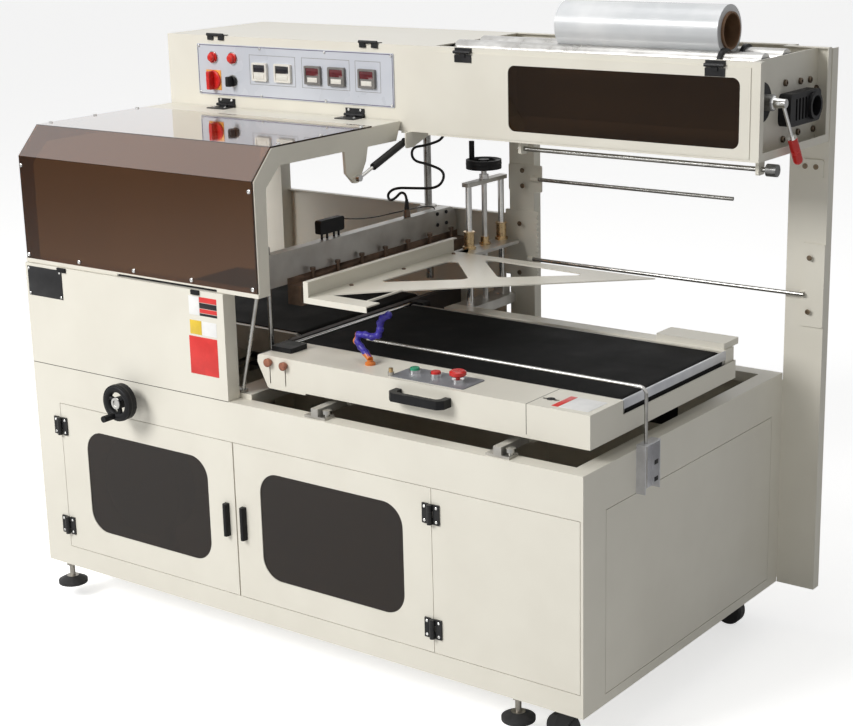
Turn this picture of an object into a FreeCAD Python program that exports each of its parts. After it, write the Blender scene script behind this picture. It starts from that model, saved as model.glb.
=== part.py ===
"""Automatic side sealer: a cabinet, an exit belt, a seal jaw, an infeed table and a film box.

Machine frame in millimetres: x runs along the product's way from the exit end (0) to the infeed
end, y runs from the operator's side (0) to the back, z is up from the floor. The finished pieces
are moved together so that the origin is the middle of the footprint on the floor.
"""

import FreeCAD, Part
import math
import os

os.makedirs("parts", exist_ok=True)

V = FreeCAD.Vector

# Cabinet
CABINET_LENGTH = 1650.0
CABINET_DEPTH = 904.0
UNDERSIDE_Z = 108.0
CABINET_HEIGHT = 540.0
SHEET = 2.5
RIM_WIDTH = 42.0
RIM_RETURN = 25.0
PANEL_RETURN = 17.0
PANEL_GAP = 1.5
LANDING_WIDTH = 13.0
OPENING_LEFT = 86.5
OPENING_RIGHT = 1643.5
OPENING_BOTTOM = 161.0
OPENING_HEIGHT = 389.0
SIDE_OPENING_FRONT = 89.0
SIDE_OPENING_BACK = 853.0
SIDE_OPENING_BOTTOM = 131.0
DOOR_SPLIT = 682.0
RIGHT_DOOR_END = 1263.0
DOOR_SHEET = 2.0
DOOR_BACKSET = 2.0
MULLION_WIDTH = 54.0
MULLION_DEPTH = 15.0
WINDOW_MARGIN_LEFT = 89.0
WINDOW_MARGIN_RIGHT = 85.0
WINDOW_MARGIN_BOTTOM = 66.0
WINDOW_MARGIN_TOP = 57.0
WINDOW_RADIUS = 55.0
PANE = 3.0
PANE_LAP = 12.0
HINGE_SIZE = 46.0
HINGE_INSET = 37.0
HINGE_LEAF = 4.0
KNUCKLE_RADIUS = 6.0
HINGE_PIN_RADIUS = 2.5
RUNNING = 0.06
PULL_WIDTH = 13.0
PULL_HEIGHT = 82.0
PULL_DEPTH = 14.0
PULL_INSET = 25.0
PULL_BOTTOM = 151.0

# Castors and levelling feet
WHEEL_RADIUS = 37.5
WHEEL_WIDTH = 30.0
CASTOR_OFFSET = 26.0
CASTOR_PLATE = 4.0
CASTOR_INSET_Y = 68.0
CASTOR_RIGHT_X = 1584.0
CASTOR_LEFT_X = 88.0
CASTOR_LEFT_FRONT_Y = 275.0
FOOT_CLEARANCE = 37.0
FOOT_PAD_RADIUS = 38.0
FOOT_STUD_RADIUS = 7.0
FOOT_LEFT = (38.5, 38.5)
FOOT_RIGHT = (1456.0, 44.0)

# Uprights behind the cabinet
COLUMN_DEPTH = 30.0
COLUMN_SHEET = 3.0
RIGHT_COLUMN_X = 1651.0
RIGHT_COLUMN_WIDTH = 98.0
LEFT_COLUMN_X = 861.0
LEFT_COLUMN_WIDTH = 76.0
WING_X = 1560.0
WING_BOTTOM = 120.0
WING_HEIGHT = 510.0
POST_X = 30.0
POST_WIDTH = 75.0
POST_DEPTH = 40.0
GUARD_HEIGHT = 315.0

# Control box and film box
CONTROL_BOTTOM = 1219.0
FILM_BOTTOM = 1214.0
BOX_TOP = 1428.0
BOX_FRONT = 550.0
BOX_TO_COLUMN = 1.0
BOX_DEPTH = CABINET_DEPTH + COLUMN_DEPTH + BOX_TO_COLUMN - BOX_FRONT
CONTROL_LENGTH = 866.0
FILM_BOX_LENGTH = 881.0
LID_THICKNESS = 2.0
LABEL_X = 110.0
LABEL_LENGTH = 656.0
LABEL_BOTTOM = 1274.0
LABEL_HEIGHT = 132.0
LABEL_SHEET = 3.0
METER_HEIGHT = 47.0
METER_BOTTOM = 1318.0
METER_DEPTH = 8.0
METERS = ((307.0, 50.0), (383.0, 55.0), (485.0, 52.0), (562.0, 53.0), (659.0, 53.0))
LAMPS = ((167.0, 1372.0), (236.0, 1372.0))
LAMP_RADIUS = 14.0
SWITCH_MAIN = (166.0, 1313.0)
SWITCH_SELECT = (234.0, 1313.0)
MAIN_SWITCH_RADIUS = 25.0
END_PLATE_INSET = 32.0
FILM_DOOR_X = 890.0
FILM_DOOR_LENGTH = 835.0
FILM_DOOR_HEIGHT = 196.0
FILM_WINDOW_X = 1102.0
FILM_WINDOW_LENGTH = 598.0
FILM_WINDOW_BOTTOM = 1240.0
FILM_WINDOW_HEIGHT = 153.0
FILM_WINDOW_RADIUS = 18.0
CRADLE_RADIUS = 25.0
CRADLE_AXLE = 6.0
CRADLE_FRONT_Y = 663.0
CRADLE_PITCH = 104.0
CRADLE_Z = 1410.0
FILM_RADIUS = 58.0
FILM_X = 1160.0
FILM_WIDTH = 426.0
CORE_RADIUS = 42.0
CORE_WALL = 4.0
CORE_OVERHANG = 6.0
TOUCH_GAP = 0.3

# Hood over the seal jaw
HOOD_STEP = 83.0
HOOD_LENGTH = CONTROL_LENGTH - HOOD_STEP
HOOD_PLATE = 8.0
HOOD_RIM_BOTTOM = 907.0
HOOD_TOP = 1241.0
GLASS = 4.0
HOOD_PIN_Y = 543.5
HOOD_PIN_Z = 1250.0
HOOD_HINGES = (205.0, 640.0)
HOOD_HINGE_WIDTH = 60.0
STRUT_STAND_OFF = 17.0
STRUT_X = HOOD_LENGTH + STRUT_STAND_OFF
STRUT_TOP = (540.0, 1195.0)
STRUT_EYE = (360.0, 1132.0)
STRUT_RADIUS = 9.0
STRUT_ROD_RADIUS = 4.0
STRUT_BODY = 133.0

# Front cover of the seal station
COVER_STEP = 106.0
COVER_LENGTH = HOOD_LENGTH - COVER_STEP
COVER_DEPTH = 40.0
COVER_HEIGHT = 258.0
COVER_FLANGE = 15.0
SIDE_WALL_HEIGHT = 87.0

# Exit belt
BELT_TOP = 757.0
EXIT_X = 20.0
EXIT_LENGTH = 668.0
EXIT_Y = 250.0
EXIT_WIDTH = 500.0
EXIT_SIDE = 12.0
EXIT_ROLLER = 19.0
BELT_THICKNESS = 2.0
LIFT_TRAVEL = 15.0
HANDWHEEL_CENTRE = (360.0, 608.0)
HANDWHEEL_RADIUS = 46.0
HANDWHEEL_Y = -62.0
HANDWHEEL_RIM = 10.0
SHAFT_RADIUS = 8.0
LIFT_SCREW_Y = 480.0
LIFT_SCREW_RADIUS = 9.0

# Seal jaw
JAW_X = 672.0
JAW_WIDTH = 28.0
JAW_Y = 128.0
JAW_BACK_GAP = 18.0
JAW_LENGTH = CABINET_DEPTH - JAW_BACK_GAP - JAW_Y
JAW_BOTTOM = 893.0
JAW_HEIGHT = 79.0
HEAT_WIDTH = 42.0
HEAT_Y = 200.0
HEAT_LENGTH = CABINET_DEPTH - JAW_BACK_GAP - 1 - HEAT_Y
HEAT_BOTTOM = 852.0
HEAT_HEIGHT = 40.0
BLADE = 3.0
BLADE_TIP = 840.0
GUIDE_REAR = (624.0, CABINET_DEPTH - 39.0)
GUIDE_REAR_RADIUS = 10.0
GUIDE_FRONT = (686.0, 150.0)
GUIDE_FRONT_RADIUS = 6.0
LOWER_JAW_X = 690.0
LOWER_JAW_WIDTH = 22.0
STAY_TOP = (740.0, 50.0, 905.0)
STAY_FOOT = (678.0, 50.0, 660.0)
STAY_RADIUS = 5.0

# Infeed table
TABLE_X = 720.0
TABLE_END = 1628.0
TABLE_Y = 62.0
TABLE_FRONT_WIDTH = 131.0
TABLE_BOTTOM = 682.0
COVER_DROP = 32.0
CAP_END = 862.0
TABLE_BELT_Y = 209.0
TABLE_BELT_WIDTH = 431.0
TABLE_SIDE = 12.0
TABLE_ROLLER = 19.0
TABLE_NOSE = 7.0
REAR_RAIL_X = 825.0
REAR_RAIL_WIDTH = 42.0
RAILS_X = (935.0, 1435.0)
RAIL_WIDTH = 20.0
RAIL_HEIGHT = 18.0
CONSOLE_X = 1100.0
CONSOLE_LENGTH = 200.0
CONSOLE_Y = 75.0
CONSOLE_WIDTH = 83.0
CONSOLE_SHEET = 2.0
BUTTONS = ((1135.0, 122.0), (1193.0, 122.0))
STOP_BUTTON = (1258.0, 115.0)
HANDLE_X = (1134.0, 1270.0)
HANDLE_Z = 728.0
HANDLE_REACH = 38.0
KNOBS = ((756.0, 742.0), (803.0, 740.0))

# Film head
HEAD_Z = 903.0
HEAD_SHEET = 3.0
HEAD_POST_X = 857.0
HEAD_POST_FRONT = 725.0
HEAD_SCREW_Y = 794.0
HEAD_POST_BACK = CABINET_DEPTH - 35.0
HEAD_POST_RADIUS = 8.0
HEAD_SCREW_RADIUS = 7.0
HEAD_BAR_Z = 1060.0
HEAD_WHEEL_RADIUS = 46.0
HEAD_LEFT = 847.0
FLANGE_HEIGHT = 36.0

# Derived levels
RIM_Z = UNDERSIDE_Z + CABINET_HEIGHT
OPENING_TOP = OPENING_BOTTOM + OPENING_HEIGHT
LAND_Y = PANEL_RETURN
BOX_BACK = BOX_FRONT + BOX_DEPTH
TABLE_TOP = BELT_TOP
BED_Z = TABLE_TOP - 3.0

pieces = {}


def keep(name, *solids):
    """Add finished solids to the node called name."""
    pieces.setdefault(name, []).extend(solids)


def block(x0, x1, y0, y1, z0, z1):
    return Part.makeBox(x1 - x0, y1 - y0, z1 - z0, V(x0, y0, z0))


def point(axis, u, v, w):
    """u and v lie in the plane across the axis, w along it."""
    if axis == "x":
        return V(w, u, v)
    if axis == "y":
        return V(u, w, v)
    return V(u, v, w)


def rod(axis, u, v, radius, start, end):
    """Round bar along an axis, its centre at u, v."""
    direction = point(axis, 0, 0, 1)
    return Part.makeCylinder(radius, end - start, point(axis, u, v, start), direction)


def outline(axis, corners, at):
    """Closed wire through corners (u, v) or (u, v, radius); a radius rounds its corner."""
    stops = []
    count = len(corners)
    for index, corner in enumerate(corners):
        here = V(corner[0], corner[1], 0)
        radius = corner[2] if len(corner) > 2 else 0.0
        before = V(corners[index - 1][0], corners[index - 1][1], 0) - here
        after = V(corners[(index + 1) % count][0], corners[(index + 1) % count][1], 0) - here
        if radius <= 0:
            stops.append((here, None, here))
            continue
        half = before.getAngle(after) / 2
        reach = radius / math.tan(half)
        before.normalize()
        after.normalize()
        middle = before + after
        middle.normalize()
        crown = here + middle * (radius / math.sin(half) - radius)
        stops.append((here + before * reach, crown, here + after * reach))
    edges = []
    for index, (enter, crown, leave) in enumerate(stops):
        following = stops[(index + 1) % count][0]
        if crown is not None:
            arc = [point(axis, p.x, p.y, at) for p in (enter, crown, leave)]
            edges.append(Part.Arc(*arc).toShape())
        if leave.distanceToPoint(following) > 0.001:
            ends = [point(axis, p.x, p.y, at) for p in (leave, following)]
            edges.append(Part.makeLine(*ends))
    return Part.Wire(edges)


def prism(axis, corners, start, end):
    """Outline pushed along an axis."""
    face = Part.Face(outline(axis, corners, start))
    return face.extrude(point(axis, 0, 0, end - start))


def rounded(axis, u0, u1, v0, v1, radius, start, end):
    """Rectangle with round corners pushed along an axis."""
    corners = [(u0, v0, radius), (u1, v0, radius), (u1, v1, radius), (u0, v1, radius)]
    return prism(axis, corners, start, end)


def turned(axis, u, v, profile):
    """Solid turned round an axis; profile holds (distance along, radius) corners."""
    wire = [point(axis, u + radius, v, along) for along, radius in profile]
    face = Part.Face(Part.makePolygon(wire + [wire[0]]))
    return face.revolve(point(axis, u, v, 0), point(axis, 0, 0, 1), 360)


def ring(axis, u, v, outer, inner, start, end):
    return rod(axis, u, v, outer, start, end).cut(rod(axis, u, v, inner, start - 1, end + 1))


def bar_between(start, end, radius):
    """Round bar from one point to another."""
    way = V(*end) - V(*start)
    return Part.makeCylinder(radius, way.Length, V(*start), way)


def joined(first, *others):
    solid = first
    for other in others:
        solid = solid.fuse(other)
    return solid.removeSplitter()


def without(solid, *tools):
    for tool in tools:
        solid = solid.cut(tool)
    return solid


def front_tray(x0, x1, z0, z1, face_y, deep, sheet):
    """Folded panel facing the operator, its edges turned back."""
    outside = block(x0, x1, face_y, face_y + deep, z0, z1)
    inside = block(x0 + sheet, x1 - sheet, face_y + sheet, face_y + deep + 1, z0 + sheet, z1 - sheet)
    return outside.cut(inside)


def make_cabinet():
    """Welded cabinet shell with a turned-in rim, landing flanges and two door posts."""
    inner = (SHEET, CABINET_LENGTH - SHEET, SHEET, CABINET_DEPTH - SHEET)
    shell = block(0, CABINET_LENGTH, 0, CABINET_DEPTH, UNDERSIDE_Z, RIM_Z)
    shell = shell.cut(block(*inner, UNDERSIDE_Z + SHEET, RIM_Z - SHEET))
    mouth = (RIM_WIDTH, CABINET_LENGTH - RIM_WIDTH, RIM_WIDTH, CABINET_DEPTH - RIM_WIDTH)
    lip = block(mouth[0] - SHEET, mouth[1] + SHEET, mouth[2] - SHEET, mouth[3] + SHEET,
                RIM_Z - RIM_RETURN, RIM_Z)
    shell = shell.fuse(lip).cut(block(*mouth, RIM_Z - RIM_RETURN - 1, RIM_Z + 1))
    front = (OPENING_LEFT, OPENING_RIGHT, OPENING_BOTTOM, OPENING_TOP)
    fold = block(front[0] - DOOR_SHEET, front[1] + DOOR_SHEET, SHEET / 2, LAND_Y + DOOR_SHEET,
                 front[2] - DOOR_SHEET, front[3] + DOOR_SHEET)
    land = block(front[0] + LANDING_WIDTH, front[1] - LANDING_WIDTH, -1, LAND_Y + 9,
                 front[2] + LANDING_WIDTH, front[3] - LANDING_WIDTH)
    shell = shell.fuse(fold).cut(block(front[0], front[1], -1, LAND_Y, front[2], front[3]))
    shell = shell.cut(land)
    side_x = CABINET_LENGTH - PANEL_RETURN
    side = (SIDE_OPENING_FRONT, SIDE_OPENING_BACK, SIDE_OPENING_BOTTOM, OPENING_TOP)
    fold = block(side_x - DOOR_SHEET, CABINET_LENGTH - SHEET / 2, side[0] - DOOR_SHEET,
                 side[1] + DOOR_SHEET, side[2] - DOOR_SHEET, side[3] + DOOR_SHEET)
    land = block(side_x - 9, CABINET_LENGTH + 1, side[0] + LANDING_WIDTH, side[1] - LANDING_WIDTH,
                 side[2] + LANDING_WIDTH, side[3] - LANDING_WIDTH)
    shell = shell.fuse(fold).cut(block(side_x, CABINET_LENGTH + 1, side[0], side[1], side[2], side[3]))
    shell = shell.cut(land)
    for x in (DOOR_SPLIT - MULLION_WIDTH / 2, RIGHT_DOOR_END - MULLION_WIDTH / 2):
        post = block(x, x + MULLION_WIDTH, LAND_Y, LAND_Y + MULLION_DEPTH,
                     UNDERSIDE_Z + SHEET / 2, RIM_Z - SHEET / 2)
        hollow = block(x + DOOR_SHEET, x + MULLION_WIDTH - DOOR_SHEET, LAND_Y + DOOR_SHEET,
                       LAND_Y + MULLION_DEPTH + 1, UNDERSIDE_Z + SHEET, RIM_Z - SHEET)
        shell = shell.fuse(post.cut(hollow))
    for x0, x1 in BACK_OPENINGS:
        hole = block(x0 + BACK_LAP, x1 - BACK_LAP, CABINET_DEPTH - SHEET - 1, CABINET_DEPTH + 1,
                     BACK_PANEL_BOTTOM + BACK_LAP, BACK_PANEL_TOP - BACK_LAP)
        shell = shell.cut(hole)
    shaft_hole = rod("y", *HANDWHEEL_CENTRE, SHAFT_RADIUS + RUNNING, -1, SHEET + 1)
    shell = shell.cut(shaft_hole)
    keep("cabinet_frame", shell.removeSplitter())


BACK_LAP = 20.0
BACK_PANEL_BOTTOM = 160.0
BACK_PANEL_TOP = 590.0
BACK_OPENINGS = (
    (60.0, LEFT_COLUMN_X - 20.0),
    (LEFT_COLUMN_X + LEFT_COLUMN_WIDTH + 20.0, WING_X - 20.0),
)
VENT_LENGTH = 90.0
VENT_SLOT = 5.0
VENT_PITCH = 14.0


def make_back_panels():
    """Two lift-off panels screwed to the back wall, the left one with cooling slots."""
    for x0, x1 in BACK_OPENINGS:
        sheet = block(x0, x1, CABINET_DEPTH, CABINET_DEPTH + DOOR_SHEET, BACK_PANEL_BOTTOM,
                      BACK_PANEL_TOP)
        start = (x0 + x1) / 2 - VENT_LENGTH - 20
        for column in range(2):
            left = start + column * (VENT_LENGTH + 40)
            for row in range(6):
                low = BACK_PANEL_TOP - 120 + row * VENT_PITCH
                slot = rounded("y", left, left + VENT_LENGTH, low, low + VENT_SLOT,
                               VENT_SLOT / 2 - 0.1, CABINET_DEPTH - 1, CABINET_DEPTH + 9)
                sheet = sheet.cut(slot)
        keep("cabinet_panels", sheet)


def make_fixed_panels():
    """Right end panel and the fixed front panel, both folded trays on the landing flanges."""
    left = RIGHT_DOOR_END + PANEL_GAP / 2
    keep("cabinet_panels",
         front_tray(left, OPENING_RIGHT - PANEL_GAP, OPENING_BOTTOM + PANEL_GAP,
                    OPENING_TOP - PANEL_GAP, 0, PANEL_RETURN, DOOR_SHEET))
    y0 = SIDE_OPENING_FRONT + PANEL_GAP
    y1 = SIDE_OPENING_BACK - PANEL_GAP
    z0 = SIDE_OPENING_BOTTOM + PANEL_GAP
    z1 = OPENING_TOP - PANEL_GAP
    tray = block(CABINET_LENGTH - PANEL_RETURN, CABINET_LENGTH, y0, y1, z0, z1)
    hollow = block(CABINET_LENGTH - PANEL_RETURN - 1, CABINET_LENGTH - DOOR_SHEET, y0 + DOOR_SHEET,
                   y1 - DOOR_SHEET, z0 + DOOR_SHEET, z1 - DOOR_SHEET)
    keep("cabinet_panels", tray.cut(hollow))


def hinge(pin_x, z, way):
    """Butt hinge: base leaf with the pin, and door leaf; way is +1 when the door lies at +x."""
    pin_y = -KNUCKLE_RADIUS - 1
    low = z - HINGE_SIZE / 2
    third = HINGE_SIZE / 3
    gap = KNUCKLE_RADIUS + 1
    half = HINGE_SIZE / 2

    def leaf(side, thirds):
        far = pin_x + side * half
        near = pin_x + side * gap
        plate = block(min(far, near), max(far, near), -HINGE_LEAF, 0, low, low + HINGE_SIZE)
        for number in thirds:
            z0 = low + number * third + 0.2
            z1 = low + (number + 1) * third - 0.2
            web = block(min(far, pin_x), max(far, pin_x), -HINGE_LEAF, -1, z0, z1)
            knuckle = rod("z", pin_x, pin_y, KNUCKLE_RADIUS, z0, z1)
            plate = plate.fuse(web).fuse(knuckle)
        return plate

    pin = rod("z", pin_x, pin_y, HINGE_PIN_RADIUS, low + 0.2, low + HINGE_SIZE - 0.2)
    base = leaf(-way, (0, 2)).fuse(pin).removeSplitter()
    bore = rod("z", pin_x, pin_y, HINGE_PIN_RADIUS + RUNNING, low - 1, low + HINGE_SIZE + 1)
    moving = leaf(way, (1,)).cut(bore).removeSplitter()
    return base, moving


def make_door(name, x0, x1, hinge_x, way):
    """Folded door with a rounded window, a smoked pane behind it, hinge leaves and a pull."""
    z0 = OPENING_BOTTOM + PANEL_GAP
    z1 = OPENING_TOP - PANEL_GAP
    tray = front_tray(x0, x1, z0, z1, 0, LAND_Y - DOOR_BACKSET, DOOR_SHEET)
    margins = (WINDOW_MARGIN_LEFT, WINDOW_MARGIN_RIGHT)
    if way < 0:
        margins = (margins[0] - 11, margins[1] - 6)
    wx0 = x0 + margins[0]
    wx1 = x1 - margins[1]
    wz0 = OPENING_BOTTOM + WINDOW_MARGIN_BOTTOM
    wz1 = OPENING_TOP - WINDOW_MARGIN_TOP
    window = rounded("y", wx0, wx1, wz0, wz1, WINDOW_RADIUS, -1, DOOR_SHEET + 1)
    keep(name, tray.cut(window))
    pane = rounded("y", wx0 - PANE_LAP, wx1 + PANE_LAP, wz0 - PANE_LAP, wz1 + PANE_LAP,
                   WINDOW_RADIUS + PANE_LAP, DOOR_SHEET, DOOR_SHEET + PANE)
    keep(name + "_fittings", pane)
    for z in (OPENING_BOTTOM + HINGE_INSET + HINGE_SIZE / 2, OPENING_TOP - HINGE_INSET - HINGE_SIZE / 2):
        base, moving = hinge(hinge_x, z, way)
        keep("hinge_bases", base)
        keep(name + "_fittings", moving)
    free = x1 - PULL_INSET - PULL_WIDTH / 2 if way > 0 else x0 + PULL_INSET - PULL_WIDTH / 2
    low = OPENING_BOTTOM + PULL_BOTTOM
    profile = [(free, 0), (free + PULL_WIDTH, 0), (free + PULL_WIDTH - 2, -PULL_DEPTH, 2),
               (free + 2, -PULL_DEPTH, 2)]
    grip = prism("z", profile, low, low + PULL_HEIGHT)
    keep(name + "_fittings", grip)


def make_castor(name, x, y, way):
    """Swivel castor: top plate and fork turn about the stem, the wheel about its bolt."""
    top = UNDERSIDE_Z
    axle_x = x + way * CASTOR_OFFSET
    half = WHEEL_WIDTH / 2
    plate = block(x - 36, x + 36, y - 30, y + 30, top - CASTOR_PLATE, top)
    stem = rod("z", x, y, 9, top - CASTOR_PLATE - 8, top - CASTOR_PLATE)
    keep("floor_fittings", plate.fuse(stem).removeSplitter())
    crown_z = top - CASTOR_PLATE - 2
    crown = turned("z", x, y, [(crown_z - 12, 9 + RUNNING), (crown_z - 12, 26), (crown_z - 4, 26),
                               (crown_z, 18), (crown_z, 9 + RUNNING)])
    low = WHEEL_RADIUS
    fork = [(axle_x - way * 13, low), (axle_x, low - 12, 8), (axle_x + way * 13, low, 8),
            (x + way * 22, crown_z - 10), (x - way * 22, crown_z - 10)]
    cheeks = None
    for side in (-1, 1):
        y0 = y + side * (half + 2) - (4 if side < 0 else 0)
        cheek = prism("y", fork, y0, y0 + 4)
        cheeks = cheek if cheeks is None else cheeks.fuse(cheek)
    crown = crown.fuse(block(x - 22, x + 22, y - half - 6, y + half + 6, crown_z - 12, crown_z - 9)
                       .cut(rod("z", x, y, 9 + RUNNING, 0, top)))
    axle = rod("y", axle_x, low, 5, y - half - 9, y + half + 9)
    keep(name + "_fork", joined(crown, cheeks, axle))
    tread = turned("y", axle_x, low, [(y - half, 5 + RUNNING), (y - half, WHEEL_RADIUS - 4),
                                      (y - half + 4, WHEEL_RADIUS), (y + half - 4, WHEEL_RADIUS),
                                      (y + half, WHEEL_RADIUS - 4), (y + half, 5 + RUNNING)])
    keep(name + "_wheel", tread)


def make_feet():
    """Screw feet wound up clear of the floor while the castors carry the machine."""
    for x, y in (FOOT_LEFT, FOOT_RIGHT):
        pad = turned("z", x, y, [(FOOT_CLEARANCE, 0), (FOOT_CLEARANCE, FOOT_PAD_RADIUS),
                                 (FOOT_CLEARANCE + 8, FOOT_PAD_RADIUS),
                                 (FOOT_CLEARANCE + 20, 16), (FOOT_CLEARANCE + 20, 0)])
        stud = rod("z", x, y, FOOT_STUD_RADIUS, FOOT_CLEARANCE + 19, UNDERSIDE_Z)
        nut = prism("z", [(x + 13 * math.cos(math.radians(60 * k)),
                           y + 13 * math.sin(math.radians(60 * k))) for k in range(6)],
                    UNDERSIDE_Z - 22, UNDERSIDE_Z - 12)
        keep("floor_fittings", joined(pad, stud, nut))


PLATE_UPPER = (861.0, 963.0, 1026.0, 1095.0)
PLATE_RACK = (850.0, 952.0, 801.0, 975.0)
PLATE_RIGHT = (1691.0, 1749.0, 772.0, 972.0)
ROD_UPPER_Z = 1061.0
ROD_UPPER_END = 1513.0
ROD_LOWER_Z = 850.0
GUIDE_ROD_RADIUS = 5.0
RACK_PITCH = 15.0
RACK_DEPTH = 7.0
RACK_TEETH = 11
PLATE_SHEET = 4.0
LUG = 7.0


def make_uprights():
    """Folded columns behind the cabinet, the corner post, the guard sheet and their plates."""
    y0 = CABINET_DEPTH
    y1 = CABINET_DEPTH + COLUMN_DEPTH

    def channel(x0, width, z0, z1):
        body = block(x0, x0 + width, y0, y1, z0, z1)
        hollow = block(x0 + COLUMN_SHEET, x0 + width - COLUMN_SHEET, y0 + COLUMN_SHEET, y1 + 1,
                       z0 - 1, z1 + 1)
        return body.cut(hollow)

    right = channel(RIGHT_COLUMN_X, RIGHT_COLUMN_WIDTH, UNDERSIDE_Z, BOX_TOP - 3)
    wing = block(WING_X, RIGHT_COLUMN_X + COLUMN_SHEET, y0, y0 + COLUMN_SHEET, WING_BOTTOM,
                 WING_BOTTOM + WING_HEIGHT)
    keep("rear_columns", joined(right, wing))
    keep("rear_columns", channel(LEFT_COLUMN_X, LEFT_COLUMN_WIDTH, UNDERSIDE_Z, FILM_BOTTOM))
    back = y0 - SHEET + 0.5
    post = block(POST_X, POST_X + POST_WIDTH, back - POST_DEPTH, back, RIM_Z, CONTROL_BOTTOM)
    hollow = block(POST_X + COLUMN_SHEET, POST_X + POST_WIDTH - COLUMN_SHEET,
                   back - POST_DEPTH + COLUMN_SHEET, back - COLUMN_SHEET, RIM_Z - 1,
                   CONTROL_BOTTOM + 1)
    keep("rear_columns", post.cut(hollow))
    guard_end = PLATE_RACK[0] - 2
    guard = block(POST_X + 50, guard_end, back, back + 2, RIM_Z, RIM_Z + GUARD_HEIGHT)
    lip = block(POST_X + POST_WIDTH, guard_end, back - 14, back + 1,
                RIM_Z + GUARD_HEIGHT - 2, RIM_Z + GUARD_HEIGHT)
    keep("rear_columns", joined(guard, lip))


def make_guide_plates():
    """Rear rods with their column plates; the rack plate carries the teeth of the film stop."""
    face = CABINET_DEPTH - PLATE_SHEET
    lug_y = face - LUG
    x0, x1, z0, z1 = PLATE_UPPER
    upper = rounded("y", x0, x1, z0, z1, 4, face, CABINET_DEPTH)
    boss = rod("x", lug_y, ROD_UPPER_Z, LUG, x1 - 26, x1 - 4)
    web = block(x1 - 22, x1 - 8, lug_y, face + 1, ROD_UPPER_Z - 6, ROD_UPPER_Z + 6)
    bar = rod("x", lug_y, ROD_UPPER_Z, GUIDE_ROD_RADIUS, x1 - 26, ROD_UPPER_END)
    keep("rear_columns", without(joined(upper, boss, web), bar))
    keep("guide_rods", bar)
    x0, x1, z0, z1 = PLATE_RACK
    teeth = [(x0, z0, 4), (x1, z0)]
    for number in range(RACK_TEETH):
        low = z0 + number * RACK_PITCH
        teeth += [(x1 - RACK_DEPTH, low + 5), (x1, low + RACK_PITCH)]
    teeth += [(x1, z1, 3), (x0, z1, 4)]
    rack = prism("y", teeth, face, CABINET_DEPTH)
    bar = rod("x", lug_y, ROD_LOWER_Z, GUIDE_ROD_RADIUS, x1 - 26, PLATE_RIGHT[0] + 12)
    boss = rod("x", lug_y, ROD_LOWER_Z, LUG, x1 - 26, x1 - 12)
    web = block(x1 - 24, x1 - 14, lug_y, face + 1, ROD_LOWER_Z - 6, ROD_LOWER_Z + 6)
    keep("rear_columns", without(joined(rack, boss, web), bar))
    x0, x1, z0, z1 = PLATE_RIGHT
    right = rounded("y", x0, x1, z0, z1, 4, face, CABINET_DEPTH)
    boss = rod("x", lug_y, ROD_LOWER_Z, LUG, x0 - 2, x0 + 12)
    web = block(x0, x0 + 10, lug_y, face + 1, ROD_LOWER_Z - 6, ROD_LOWER_Z + 6)
    keep("rear_columns", without(joined(right, boss, web), bar))
    keep("guide_rods", bar)


LID_HINGES = (178.0, 690.0)
LID_HINGE_WIDTH = 56.0
LID_PIN_RADIUS = 4.0


def top_hinge(middle, width, pin_y, pin_z, moving_back, moving_up):
    """Flat hinge on a top edge: the base leaf lies on the front face, the other on the lid."""
    x0 = middle - width / 2
    third = width / 3
    pin = rod("x", pin_y, pin_z, 1.8, x0, x0 + width)
    bore = rod("x", pin_y, pin_z, 1.8 + RUNNING, x0 - 1, x0 + width + 1)
    base = pin
    for number in (0, 2):
        a = x0 + number * third + 0.2 * (number > 0)
        b = x0 + (number + 1) * third - 0.2 * (number < 2)
        base = base.fuse(rod("x", pin_y, pin_z, LID_PIN_RADIUS, a, b))
        base = base.fuse(block(a, b, pin_y, BOX_FRONT, pin_z - 14, pin_z))
    a = x0 + third + 0.2
    b = x0 + 2 * third - 0.2
    knuckle = rod("x", pin_y, pin_z, LID_PIN_RADIUS, a, b)
    arm = block(a, b, pin_y + 0.5, moving_back + 16, moving_up, moving_up + 2)
    flat = block(x0 + 1, x0 + width - 1, moving_back, moving_back + 16, moving_up, moving_up + 2)
    return base.removeSplitter(), joined(knuckle, arm, flat).cut(bore)


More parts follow.
